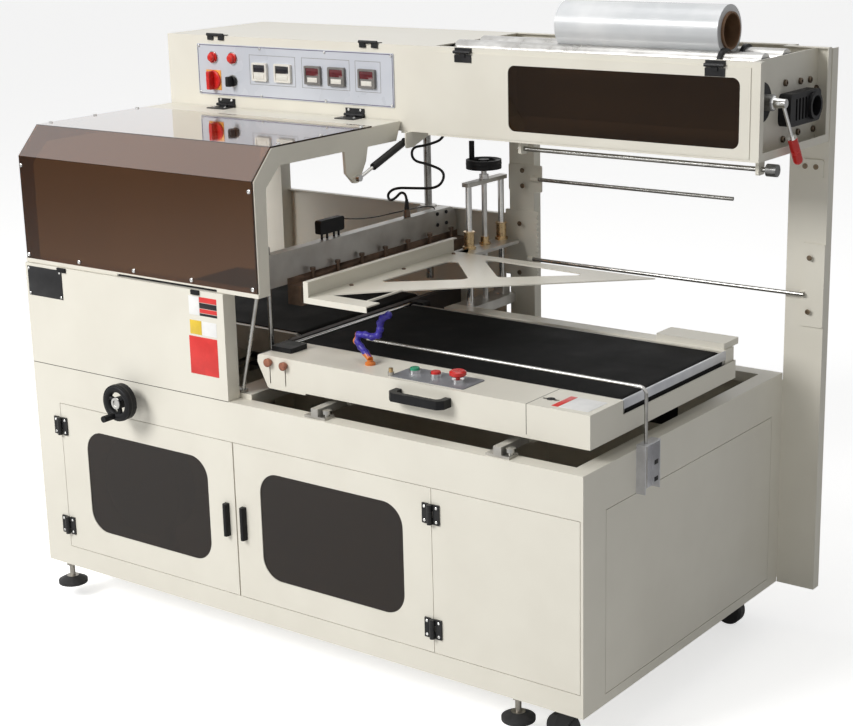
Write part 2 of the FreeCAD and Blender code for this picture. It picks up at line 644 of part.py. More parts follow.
def make_control_box():
    """Closed control box with its label panel, meters, lamps, switches and hinged lid."""
    x1 = CONTROL_LENGTH
    wall = block(0, x1, BOX_FRONT, BOX_BACK, CONTROL_BOTTOM, BOX_TOP - LID_THICKNESS)
    hollow = block(SHEET, x1 - SHEET, BOX_FRONT + SHEET, BOX_BACK - SHEET, CONTROL_BOTTOM + SHEET,
                   BOX_TOP)
    wall = wall.cut(hollow)
    ledge = block(SHEET / 2, x1 - SHEET / 2, BOX_FRONT + SHEET / 2, BOX_BACK - SHEET / 2,
                  BOX_TOP - LID_THICKNESS - SHEET, BOX_TOP - LID_THICKNESS)
    mouth = block(18, x1 - 18, BOX_FRONT + 18, BOX_BACK - 18, BOX_TOP - 20, BOX_TOP)
    wall = wall.fuse(ledge.cut(mouth))
    panel_front = BOX_FRONT - LABEL_SHEET
    for (x, z), radius in ((SWITCH_MAIN, 5), (SWITCH_SELECT, 5)):
        wall = wall.cut(rod("y", x, z, radius + RUNNING, panel_front - 1, BOX_FRONT + SHEET + 1))
    keep("control_box", wall.removeSplitter())
    label = rounded("y", LABEL_X, LABEL_X + LABEL_LENGTH, LABEL_BOTTOM, LABEL_BOTTOM + LABEL_HEIGHT,
                    3, panel_front, BOX_FRONT)
    for (x, z), radius in ((SWITCH_MAIN, 5), (SWITCH_SELECT, 5)):
        label = label.cut(rod("y", x, z, radius + RUNNING, panel_front - 1, BOX_FRONT + 1))
    keep("label_panel", label)
    for x, width in METERS:
        bezel = rounded("y", x, x + width, METER_BOTTOM, METER_BOTTOM + METER_HEIGHT, 3,
                        panel_front - METER_DEPTH, panel_front)
        face = rounded("y", x + 5, x + width - 5, METER_BOTTOM + 5, METER_BOTTOM + METER_HEIGHT - 5,
                       2, panel_front - METER_DEPTH - 1, panel_front - METER_DEPTH + 2)
        keep("label_panel", bezel.cut(face))
    for x, z in LAMPS:
        lamp = turned("y", x, z, [(panel_front, 0), (panel_front, LAMP_RADIUS),
                                  (panel_front - 6, LAMP_RADIUS), (panel_front - 6, LAMP_RADIUS - 3),
                                  (panel_front - 13, LAMP_RADIUS - 4),
                                  (panel_front - 16, LAMP_RADIUS - 8), (panel_front - 16, 0)])
        keep("label_panel", lamp)
    for name, (x, z), radius in (("main_switch", SWITCH_MAIN, MAIN_SWITCH_RADIUS),
                                 ("selector_switch", SWITCH_SELECT, LAMP_RADIUS)):
        start = panel_front - TOUCH_GAP
        knob = turned("y", x, z, [(start, 0), (start, radius), (start - 5, radius),
                                  (start - 7, radius - 3), (start - 7, 0)])
        bar = rounded("x", start - 25, start - 6, z - radius + 1, z + radius - 1, 4, x - 5, x + 5)
        shaft = rod("y", x, z, 5, start - 1, BOX_FRONT + 20)
        keep(name, joined(knob, bar, shaft))
    lid = block(0, x1, BOX_FRONT, BOX_BACK, BOX_TOP - LID_THICKNESS, BOX_TOP)
    keep("control_lid", lid)
    for middle in LID_HINGES:
        base, moving = top_hinge(middle, LID_HINGE_WIDTH, BOX_FRONT - LID_PIN_RADIUS - 0.5,
                                 BOX_TOP + LID_PIN_RADIUS - 1, BOX_FRONT + 2, BOX_TOP)
        keep("hinge_bases", base)
        keep("control_lid", moving)


def film_box_wall(inset, z0, z1):
    """Footprint of the film box, stepped in at the back corner where the column stands."""
    x0 = CONTROL_LENGTH + inset
    x1 = CONTROL_LENGTH + FILM_BOX_LENGTH - inset
    y0 = BOX_FRONT + inset
    step_x = RIGHT_COLUMN_X - 1 - inset
    step_y = CABINET_DEPTH - 1 - inset
    corners = [(x0, y0), (x1, y0), (x1, step_y), (step_x, step_y), (step_x, BOX_BACK - inset),
               (x0, BOX_BACK - inset)]
    return prism("z", corners, z0, z1)


def make_film_box():
    """Open-topped box that carries the film reel over the table."""
    x0 = CONTROL_LENGTH
    x1 = CONTROL_LENGTH + FILM_BOX_LENGTH
    end = x1 - END_PLATE_INSET
    box = film_box_wall(0, FILM_BOTTOM, BOX_TOP).cut(film_box_wall(SHEET, FILM_BOTTOM + SHEET,
                                                                   BOX_TOP + 1))
    rim = film_box_wall(SHEET / 2, BOX_TOP - SHEET, BOX_TOP)
    rim = rim.cut(film_box_wall(16, BOX_TOP - 9, BOX_TOP + 9))
    box = box.fuse(rim)
    open_end = block(end, x1 + 1, BOX_FRONT + 18, CABINET_DEPTH - 19, FILM_BOTTOM + 18, BOX_TOP + 1)
    box = box.cut(open_end)
    wall = block(end - 3, end, BOX_FRONT + SHEET, CABINET_DEPTH - 1 - SHEET, FILM_BOTTOM + SHEET,
                 BOX_TOP - SHEET)
    box = box.fuse(wall)
    door = film_door_edges()
    hole = block(door[0] + 14, door[1] - 14, BOX_FRONT - 1, BOX_FRONT + SHEET + 1, door[2] + 10,
                 door[3] - 10)
    box = box.cut(hole)
    for y, z, radius in ((LEVER_Y, LEVER_Z, LEVER_SHAFT),):
        box = box.cut(rod("x", y, z, radius + RUNNING, end - 9, end + 9))
    keep("film_box", box.removeSplitter())
    for y in (CRADLE_FRONT_Y, CRADLE_FRONT_Y + CRADLE_PITCH):
        for a, b in ((x0 + SHEET, x0 + SHEET + 10), (end - 13, end - 3)):
            bearing = rounded("x", y - 20, y + 20, CRADLE_Z - 34, BOX_TOP - SHEET - 1, 5, a, b)
            keep("bearing_housings",
                 bearing.cut(rod("x", y, CRADLE_Z, CRADLE_AXLE + RUNNING, a - 1, b + 1)))
        start = x0 + SHEET + 15.5
        stop = end - 14
        body = rod("x", y, CRADLE_Z, CRADLE_RADIUS, start, stop)
        axle = rod("x", y, CRADLE_Z, CRADLE_AXLE, x0 + SHEET + 1, end - 4)
        name = "cradle_roller_front" if y == CRADLE_FRONT_Y else "cradle_roller_rear"
        keep(name, joined(body, axle))


def film_door_edges():
    z0 = FILM_BOTTOM + 6
    return FILM_DOOR_X, FILM_DOOR_X + FILM_DOOR_LENGTH, z0, z0 + FILM_DOOR_HEIGHT


FILM_DOOR_SHEET = 2.0
FILM_HINGES = (975.0, 1640.0)
LEVER_Y = 618.0
LEVER_Z = 1335.0
LEVER_SHAFT = 8.0
LEVER_HUB = 18.0
LEVER_REACH = 60.0
LEVER_TIP = (705.0, 1195.0)
HOUSING_Y = (703.0, 858.0)
HOUSING_Z = (1270.0, 1342.0)


def make_film_door():
    """Door over the front of the film box with a smoked window, hung from its top edge."""
    x0, x1, z0, z1 = film_door_edges()
    y1 = BOX_FRONT
    y0 = BOX_FRONT - FILM_DOOR_SHEET
    sheet = block(x0, x1, y0, y1, z0, z1)
    window = rounded("y", FILM_WINDOW_X, FILM_WINDOW_X + FILM_WINDOW_LENGTH, FILM_WINDOW_BOTTOM,
                     FILM_WINDOW_BOTTOM + FILM_WINDOW_HEIGHT, FILM_WINDOW_RADIUS, y0 - 1, y1 + 1)
    keep("film_door", sheet.cut(window))
    pane = rounded("y", FILM_WINDOW_X - 8, FILM_WINDOW_X + FILM_WINDOW_LENGTH + 8,
                   FILM_WINDOW_BOTTOM - 8, FILM_WINDOW_BOTTOM + FILM_WINDOW_HEIGHT + 8,
                   FILM_WINDOW_RADIUS + 8, y1, y1 + PANE)
    keep("film_door", pane)
    pin_y = y0 - 1 - 4
    pin_z = z1 + 2
    for middle in FILM_HINGES:
        a = middle - 24
        pin = rod("x", pin_y, pin_z, 1.8, a, a + 48)
        base = pin
        for c, d in ((a, a + 15.8), (a + 32.2, a + 48)):
            base = base.fuse(rod("x", pin_y, pin_z, 4, c, d))
            base = base.fuse(block(c, d, pin_y, BOX_FRONT, pin_z, pin_z + 3))
        plate = block(a, a + 48, BOX_FRONT - 2.5, BOX_FRONT, pin_z, BOX_TOP)
        keep("hinge_bases", joined(base, plate))
        knuckle = rod("x", pin_y, pin_z, 4, a + 16.2, a + 31.8)
        leaf = block(a, a + 48, y0 - 2.5, y0, z1 - 22, z1 - 4)
        arm = block(a + 16.2, a + 31.8, pin_y, y0, z1 - 10, z1 - 0.5)
        bore = rod("x", pin_y, pin_z, 1.8 + RUNNING, a - 1, a + 49)
        keep("film_door", joined(knuckle, leaf, arm).cut(bore))


def make_film_and_lever():
    """Film reel on its cardboard core, the reel clamp lever and the ribbed bearing housing."""
    middle_y = CRADLE_FRONT_Y + CRADLE_PITCH / 2
    reach = CRADLE_RADIUS + FILM_RADIUS + TOUCH_GAP
    film_z = CRADLE_Z + math.sqrt(reach ** 2 - (CRADLE_PITCH / 2) ** 2)
    keep("film_roll", ring("x", middle_y, film_z, FILM_RADIUS, CORE_RADIUS, FILM_X,
                           FILM_X + FILM_WIDTH))
    keep("film_roll", ring("x", middle_y, film_z, CORE_RADIUS, CORE_RADIUS - CORE_WALL,
                           FILM_X - CORE_OVERHANG, FILM_X + FILM_WIDTH + CORE_OVERHANG))
    end = CONTROL_LENGTH + FILM_BOX_LENGTH - END_PLATE_INSET
    hub = turned("x", LEVER_Y, LEVER_Z, [(end + 1, 0), (end + 1, LEVER_HUB), (end + 30, LEVER_HUB),
                                         (end + 34, LEVER_HUB - 6), (end + LEVER_REACH - 10, 10),
                                         (end + LEVER_REACH, 10), (end + LEVER_REACH, 0)])
    shaft = rod("x", LEVER_Y, LEVER_Z, LEVER_SHAFT, end - 22, end + 2)
    collar = rod("x", LEVER_Y, LEVER_Z, LEVER_HUB - 4, end - 22, end - 4)
    tip_y, tip_z = LEVER_TIP
    plane = end + LEVER_REACH - 8
    way = V(0, tip_y - LEVER_Y, tip_z - LEVER_Z)
    length = way.Length
    way.normalize()
    start = V(plane, LEVER_Y, LEVER_Z)
    stem = Part.makeCylinder(4, length - 60, start, way)
    keep("clamp_lever", joined(hub, shaft, collar, stem))
    grip_start = start + way * (length - 70)
    grip = Part.makeCylinder(11, 62, grip_start, way)
    grip = grip.fuse(Part.makeSphere(11, grip_start + way * 62))
    grip = grip.cut(Part.makeCylinder(4, length - 60, start, way))
    keep("clamp_lever", grip.removeSplitter())
    y0, y1 = HOUSING_Y
    z0, z1 = HOUSING_Z
    housing = rounded("x", y0, y1, z0, z1, 14, end, end + 30)
    for number in range(5):
        y = y0 + 26 + number * 16
        housing = housing.cut(block(end + 22, end + 31, y, y + 8, z0 + 12, z1 - 12))
    bearing_y = y1 - 38
    bearing_z = (z0 + z1) / 2
    housing = housing.fuse(rod("x", bearing_y, bearing_z, 31, end, end + 38))
    housing = housing.cut(rod("x", bearing_y, bearing_z, 23, end + 14, end + 39))
    keep("bearing_housings", housing.removeSplitter())
    flange = rod("x", LEVER_Y + 6, LEVER_Z - 2, 44, end, end + 0.9)
    flange = flange.cut(rod("x", LEVER_Y, LEVER_Z, LEVER_SHAFT + RUNNING, end - 1, end + 3))
    keep("bearing_housings", flange)


HOOD_SIDE = [(10, 917), (46, 917), (48, 1153), (97, 1199), (529, 1197), (548, 1241), (73, 1241),
             (9, 1174)]
HOOD_LEG = [(330, 1199), (333, 1145), (362, 1117, 10), (380, 1117, 10), (409, 1164), (418, 1199)]
HOOD_RAIL_Y = 439.0
HOOD_NOTCH = (326.0, 654.0)
HOOD_BACK = 545.0
FRONT_LEG = 10.0


def make_hood():
    """Tilting hood: two side plates, a bottom rim, a rear rail and one bent smoked pane."""
    x1 = HOOD_LENGTH
    left = prism("x", HOOD_SIDE, 0, HOOD_PLATE)
    right = prism("x", HOOD_SIDE, x1 - HOOD_PLATE, x1)
    leg = prism("x", HOOD_LEG, x1 - HOOD_PLATE, x1)
    bottom = block(0, x1, FRONT_LEG - 4, FRONT_LEG + 36, HOOD_RIM_BOTTOM, 917)
    hollow = block(HOOD_PLATE, x1 - HOOD_PLATE, FRONT_LEG - 1, FRONT_LEG + 37,
                   HOOD_RIM_BOTTOM - 1, 914)
    notch = block(HOOD_NOTCH[0], HOOD_NOTCH[1], 0, FRONT_LEG, HOOD_RIM_BOTTOM - 1, 913)
    rail = block(0, x1, HOOD_RAIL_Y, HOOD_BACK, HOOD_TOP - 0.5, HOOD_TOP + SHEET)
    rail_fold = block(HOOD_PLATE, x1 - HOOD_PLATE, HOOD_RAIL_Y, HOOD_RAIL_Y + SHEET,
                      HOOD_TOP - 24, HOOD_TOP)
    eye_y, eye_z = STRUT_EYE
    stub = rod("x", eye_y, eye_z, 4, x1 - 1, STRUT_X - 6)
    frame = joined(left, right, leg, bottom.cut(hollow).cut(notch), rail, rail_fold, stub)
    keep("hood_frame", frame)
    inner = [(9.998, 917.3), (9, 1174), (73, 1241), (HOOD_RAIL_Y - 1, 1241)]
    outer = [(HOOD_RAIL_Y - 1, 1241 + GLASS), (71.2, 1241 + GLASS), (9 - GLASS, 1175.6),
             (10 - GLASS, 917.3)]
    keep("hood_glazing", prism("x", inner + outer, 3, x1 - 3))
    for middle in HOOD_HINGES:
        half = HOOD_HINGE_WIDTH / 2
        a = middle - half
        b = middle + half
        pin = rod("x", HOOD_PIN_Y, HOOD_PIN_Z, 2, a, b)
        base = pin.fuse(block(a, b, BOX_FRONT - 2, BOX_FRONT, HOOD_PIN_Z - 8, HOOD_PIN_Z + 16))
        for c, d in ((a, a + 19.8), (b - 19.8, b)):
            base = base.fuse(rod("x", HOOD_PIN_Y, HOOD_PIN_Z, 4, c, d))
            base = base.fuse(block(c, d, HOOD_PIN_Y, BOX_FRONT, HOOD_PIN_Z, HOOD_PIN_Z + 3))
        keep("hinge_bases", base.removeSplitter())
        bore = rod("x", HOOD_PIN_Y, HOOD_PIN_Z, 2 + RUNNING, a - 1, b + 1)
        knuckle = rod("x", HOOD_PIN_Y, HOOD_PIN_Z, 4, a + 20.2, b - 20.2)
        web = block(a + 20.2, b - 20.2, HOOD_PIN_Y - 8, HOOD_PIN_Y, HOOD_TOP + SHEET, HOOD_PIN_Z)
        leaf = block(a, b, HOOD_BACK - 42, HOOD_BACK - 6, HOOD_TOP + SHEET, HOOD_TOP + SHEET + 2.5)
        keep("hood_frame", joined(knuckle, web, leaf).cut(bore))


def make_strut():
    """Gas strut between the box bracket and the pin on the hood's leg."""
    ay, az = STRUT_TOP
    by, bz = STRUT_EYE
    start = V(STRUT_X, ay, az)
    way = V(0, by - ay, bz - az)
    length = way.Length
    way.normalize()
    eye = rod("x", ay, az, 9, STRUT_X - 4, STRUT_X + 4)
    body = Part.makeCylinder(STRUT_RADIUS, STRUT_BODY - 12, start + way * 12, way)
    neck = Part.makeCylinder(6, 14, start + way * 4, way)
    bore = Part.makeCylinder(STRUT_ROD_RADIUS + RUNNING, STRUT_BODY, start + way * 24, way)
    pin_hole = rod("x", ay, az, 4 + RUNNING, STRUT_X - 9, STRUT_X + 9)
    keep("strut_cylinder", joined(eye, body, neck).cut(bore).cut(pin_hole))
    shaft = Part.makeCylinder(STRUT_ROD_RADIUS, length - 36, start + way * 30, way)
    tip = rod("x", by, bz, 8, STRUT_X - 5, STRUT_X + 5)
    keep("strut_rod", joined(shaft, tip))
    cheek = prism("x", [(ay - 14, az - 14, 6), (ay + 14, az - 14, 6), (ay + 88, CONTROL_BOTTOM - 14),
                        (ay + 88, CONTROL_BOTTOM), (ay - 14, CONTROL_BOTTOM)], STRUT_X + 12, STRUT_X + 16)
    flange = block(STRUT_X - 14, STRUT_X + 12, ay + 6, ay + 88, CONTROL_BOTTOM - 4, CONTROL_BOTTOM)
    pin = rod("x", ay, az, 4, STRUT_X - 5, STRUT_X + 13)
    keep("control_box", joined(cheek, flange, pin))


def make_front_cover():
    """Sheet cover of the seal station and the low wall under the exit."""
    x1 = COVER_LENGTH
    top = RIM_Z + COVER_HEIGHT
    sheet = block(0, x1, 0, SHEET, RIM_Z, top)
    side = block(x1 - SHEET, x1, 0, COVER_DEPTH, RIM_Z, top)
    fold = block(0, x1, 0, COVER_FLANGE, top - SHEET, top)
    back_fold = block(0, SHEET, 0, COVER_DEPTH, RIM_Z, top)
    keep("front_cover", joined(sheet, side, fold, back_fold))
    wall = block(0, SHEET, COVER_DEPTH + 1, CABINET_DEPTH - RIM_WIDTH, RIM_Z,
                 RIM_Z + SIDE_WALL_HEIGHT)
    fold = block(0, 16, COVER_DEPTH + 1, CABINET_DEPTH - RIM_WIDTH,
                 RIM_Z + SIDE_WALL_HEIGHT - SHEET, RIM_Z + SIDE_WALL_HEIGHT)
    keep("front_cover", joined(wall, fold))


def belt_loop(x0, z0, r0, x1, z1, r1, thickness, y0, y1):
    """Endless belt round two drums; the radii are those of the belt's outside."""
    def loop(a, b):
        base = math.atan2(z1 - z0, x1 - x0)
        turn = math.acos((a - b) / math.hypot(x1 - x0, z1 - z0))

        def on(cx, cz, radius, angle):
            return V(cx + radius * math.cos(angle), y0, cz + radius * math.sin(angle))

        top0 = on(x0, z0, a, base + turn)
        far0 = on(x0, z0, a, base + math.pi)
        low0 = on(x0, z0, a, base - turn)
        low1 = on(x1, z1, b, base - turn)
        far1 = on(x1, z1, b, base)
        top1 = on(x1, z1, b, base + turn)
        wire = Part.Wire([Part.Arc(top0, far0, low0).toShape(), Part.makeLine(low0, low1),
                          Part.Arc(low1, far1, top1).toShape(), Part.makeLine(top1, top0)])
        return Part.Face(wire).extrude(V(0, y1 - y0, 0))

    return loop(r0, r1).cut(loop(r0 - thickness, r1 - thickness))


LIFT_BEAM_Z = 585.0
LIFT_POSTS_Y = (330.0, 640.0)


def make_exit_belt():
    """Short belt after the jaw, raised and lowered by the front handwheel's screw."""
    outer = EXIT_ROLLER + TOUCH_GAP + BELT_THICKNESS
    x0 = EXIT_X + outer
    x1 = EXIT_X + EXIT_LENGTH - outer
    z = BELT_TOP - outer
    y0 = EXIT_Y
    y1 = EXIT_Y + EXIT_WIDTH
    low = z - outer - 22
    plates = None
    for a in (y0, y1 - EXIT_SIDE):
        plate = rounded("y", EXIT_X + 8, x1 + 10, low, BELT_TOP - 2, 8, a, a + EXIT_SIDE)
        plates = plate if plates is None else plates.fuse(plate)
    bed = block(x0 + 26, x1 - 26, y0 + 1, y1 - 1, BELT_TOP - BELT_THICKNESS - TOUCH_GAP - 5,
                BELT_TOP - BELT_THICKNESS - TOUCH_GAP)
    cx, cz = HANDWHEEL_CENTRE
    beam = block(cx - 22, cx + 22, y0 + 1, y1 - 1, low, low + 12)
    frame = joined(plates, bed, beam)
    nut = rod("z", cx, LIFT_SCREW_Y, 16, low - 16, low)
    frame = frame.fuse(nut)
    frame = frame.cut(rod("z", cx, LIFT_SCREW_Y, LIFT_SCREW_RADIUS + RUNNING, 0, low + 13))
    for y in LIFT_POSTS_Y:
        frame = frame.cut(rod("z", cx, y, 7 + RUNNING, 0, low + 13))
    for x in (x0, x1):
        frame = frame.cut(rod("y", x, z, 6 + RUNNING, y0 - 1, y1 + 1))
    keep("exit_frame", frame.removeSplitter())
    keep("exit_belt", belt_loop(x0, z, outer, x1, z, outer, BELT_THICKNESS, y0 + EXIT_SIDE + 3,
                                y1 - EXIT_SIDE - 3))
    for name, x in (("exit_roller_left", x0), ("exit_roller_right", x1)):
        drum = rod("y", x, z, EXIT_ROLLER, y0 + EXIT_SIDE + 1, y1 - EXIT_SIDE - 1)
        axle = rod("y", x, z, 6, y0 - 6, y1 + 6)
        keep(name, joined(drum, axle))


def spoked_wheel(axis, u, v, radius, rim, hub, bore_start, bore_end, plane):
    """Three-spoked wheel with a round rim, its middle plane given along the axis."""
    direction = point(axis, 0, 0, 1)
    centre = point(axis, u, v, plane)
    wheel = Part.makeTorus(radius - rim, rim, centre, direction)
    wheel = wheel.fuse(rod(axis, u, v, hub, bore_start, bore_end))
    for number in range(3):
        angle = math.radians(90 + 120 * number)
        end = point(axis, u + (radius - rim) * math.cos(angle), v + (radius - rim) * math.sin(angle),
                    plane)
        wheel = wheel.fuse(bar_between(tuple(centre), tuple(end), 6))
    return wheel


def make_lift():
    """Front handwheel, its shaft to the bevel gearbox, the lift screw and the cross beam."""
    cx, cz = HANDWHEEL_CENTRE
    y = HANDWHEEL_Y
    box_y0 = LIFT_SCREW_Y - 40
    plane = y + HANDWHEEL_RIM
    wheel = spoked_wheel("y", cx, cz, HANDWHEEL_RADIUS, HANDWHEEL_RIM, 15, y + 2, -14, plane)
    peg_x = cx - HANDWHEEL_RADIUS + HANDWHEEL_RIM
    peg = rod("y", peg_x, cz, 8, y - 32, y + 2)
    wheel = joined(wheel, peg)
    shaft = rod("y", cx, cz, SHAFT_RADIUS, -16, box_y0 + 30)
    wheel = wheel.cut(shaft)
    keep("front_handwheel", wheel)
    keep("front_handwheel", shaft)
    low = LIFT_BEAM_Z - 28
    beam = block(cx - 28, cx + 28, SHEET, CABINET_DEPTH - SHEET, low, LIFT_BEAM_Z)
    hollow = block(cx - 25, cx + 25, SHEET - 1, CABINET_DEPTH, low - 1, LIFT_BEAM_Z - 3)
    beam = beam.cut(hollow)
    top = EXIT_POST_TOP
    for post_y in LIFT_POSTS_Y:
        beam = beam.fuse(rod("z", cx, post_y, 7, LIFT_BEAM_Z - 1, top))
        notch = rod("y", cx, cz, SHAFT_RADIUS + 1, post_y - 17, post_y + 17)
        if post_y < LIFT_SCREW_Y:
            collar = rod("z", cx, post_y, 16, LIFT_BEAM_Z - 1, LIFT_BEAM_Z + 44)
            beam = beam.fuse(collar).cut(notch)
    keep("cross_members", beam.removeSplitter())
    gearbox = rounded("z", cx - 32, cx + 32, box_y0, LIFT_SCREW_Y + 36, 8, LIFT_BEAM_Z,
                      LIFT_BEAM_Z + 50)
    gearbox = gearbox.cut(rod("y", cx, cz, SHAFT_RADIUS + RUNNING, box_y0 - 1, box_y0 + 31))
    gearbox = gearbox.cut(rod("z", cx, LIFT_SCREW_Y, LIFT_SCREW_RADIUS + RUNNING, LIFT_BEAM_Z + 32,
                              LIFT_BEAM_Z + 51))
    keep("drive_units", gearbox)
    keep("lift_screw", rod("z", cx, LIFT_SCREW_Y, LIFT_SCREW_RADIUS, LIFT_BEAM_Z + 33, top))


EXIT_POST_TOP = BELT_TOP - 2 * (EXIT_ROLLER + TOUCH_GAP + BELT_THICKNESS) - LIFT_TRAVEL - 2


JAW_BASE_LOW = 630.0
JAW_BASE_TOP = 660.0
JAW_BASE_WIDTH = 72.0
SPRINGS = 7


def make_jaw():
    """Upper seal jaw with its bushes, heater cover and blade, and the fixed lower jaw."""
    x0 = JAW_X
    x1 = JAW_X + JAW_WIDTH
    y1 = JAW_Y + JAW_LENGTH
    top = JAW_BOTTOM + JAW_HEIGHT
    gx, gy = GUIDE_REAR
    fx, fy = GUIDE_FRONT
    beam = prism("x", [(JAW_Y, JAW_BOTTOM), (y1, JAW_BOTTOM, 6), (y1, top, 30), (JAW_Y, top)], x0, x1)
    beam = beam.cut(rod("z", fx, fy, GUIDE_FRONT_RADIUS + RUNNING, 0, top + 1))
    keep("jaw_beam", beam)
    carrier = rounded("z", gx - 24, x0, gy - 22, gy + 20, 5, JAW_BOTTOM + 10, top - 8)
    flange = rod("z", gx, gy, 22, top - 9, top - 2)
    bore = rod("z", gx, gy, GUIDE_REAR_RADIUS + RUNNING, 0, top + 9)
    keep("jaw_beam", joined(carrier, flange).cut(bore))
    cover_y = HEAT_Y + 56
    heat_top = HEAT_BOTTOM + HEAT_HEIGHT
    bracket = block(x1, x1 + HEAT_WIDTH, cover_y, HEAT_Y + HEAT_LENGTH, HEAT_BOTTOM, heat_top)
    hollow = block(x1 + 2, x1 + HEAT_WIDTH - 2, cover_y - 1, HEAT_Y + HEAT_LENGTH + 1,
                   HEAT_BOTTOM - 1, heat_top - 2)
    arm = block(x1, x1 + 3, cover_y, HEAT_Y + HEAT_LENGTH, heat_top - 1, JAW_BOTTOM + 14)
    keep("sealing_head", joined(bracket.cut(hollow), arm))
    blade_x = x1 + HEAT_WIDTH / 2
    blade = prism("y", [(blade_x - BLADE / 2, heat_top - 2), (blade_x - BLADE / 2, BLADE_TIP + 4),
                        (blade_x, BLADE_TIP), (blade_x + BLADE / 2, BLADE_TIP + 4),
                        (blade_x + BLADE / 2, heat_top - 2)], cover_y + 2, HEAT_Y + HEAT_LENGTH - 4)
    keep("sealing_head", blade)
    end = block(x1, x1 + HEAT_WIDTH, HEAT_Y, cover_y, HEAT_BOTTOM - 7, heat_top)
    for number in range(5):
        y = HEAT_Y + 5 + number * 10
        end = end.cut(block(x1 + HEAT_WIDTH - 5, x1 + HEAT_WIDTH + 1, y, y + 5, HEAT_BOTTOM - 2,
                            heat_top - 5))
    end = end.fuse(block(x1, x1 + 3, HEAT_Y, cover_y, heat_top - 1, JAW_BOTTOM + 14))
    keep("sealing_head", end.removeSplitter())
    pitch = (HEAT_LENGTH - 120) / (SPRINGS - 1)
    for number in range(SPRINGS):
        y = HEAT_Y + 80 + number * pitch
        post = rod("z", x1 + 12, y, 4, heat_top, heat_top + 22)
        head = rod("z", x1 + 12, y, 7, heat_top + 22, heat_top + 29)
        keep("sealing_head", joined(post, head))
    base_x = x1 + 12 - JAW_BASE_WIDTH
    base = block(base_x, base_x + JAW_BASE_WIDTH, RIM_WIDTH, CABINET_DEPTH - RIM_WIDTH, JAW_BASE_LOW,
                 JAW_BASE_TOP)
    hollow = block(base_x + 5, base_x + JAW_BASE_WIDTH - 5, RIM_WIDTH + 5,
                   CABINET_DEPTH - RIM_WIDTH - 5, JAW_BASE_LOW - 1, JAW_BASE_TOP - 5)
    keep("cross_members", base.cut(hollow))
    lower = rounded("x", 190, CABINET_DEPTH - JAW_BACK_GAP - 1, JAW_BASE_TOP, BELT_TOP - 3, 1, LOWER_JAW_X,
                    LOWER_JAW_X + LOWER_JAW_WIDTH)
    keep("lower_jaw", lower)
    keep("lower_jaw", block(LOWER_JAW_X + 3, LOWER_JAW_X + LOWER_JAW_WIDTH - 3, 200, 880,
                                BELT_TOP - 3, BELT_TOP))
    post = rod("z", gx, gy, GUIDE_REAR_RADIUS, BELT_TOP + 13, CONTROL_BOTTOM)
    foot = rod("z", gx, gy, 24, CONTROL_BOTTOM - 8, CONTROL_BOTTOM)
    keep("guide_rods", joined(post, foot), rod("z", fx, fy, GUIDE_FRONT_RADIUS, JAW_BASE_TOP, 990))
    stay = bar_between(STAY_FOOT, STAY_TOP, STAY_RADIUS)
    stay = stay.fuse(block(STAY_FOOT[0] - 10, STAY_FOOT[0] + 10, 43, 58, JAW_BASE_TOP, JAW_BASE_TOP + 8))
    stay = stay.cut(block(600, 800, 0, 100, JAW_BASE_TOP - 20, JAW_BASE_TOP))
    keep("guide_rods", stay.removeSplitter())
    sensor = rounded("x", 338, 429, top + 14, top + 48, 6, x0 + 2, x0 + 20)
    for y in (352, 372, 398, 416):
        sensor = sensor.fuse(rod("z", x0 + 11, y, 3, top, top + 16))
    keep("jaw_beam", sensor.removeSplitter())
    gland = turned("z", x0 + 14, 690, [(top, 0), (top, 9), (top + 14, 9), (top + 20, 6),
                                       (top + 20, 0)])
    keep("jaw_beam", gland)


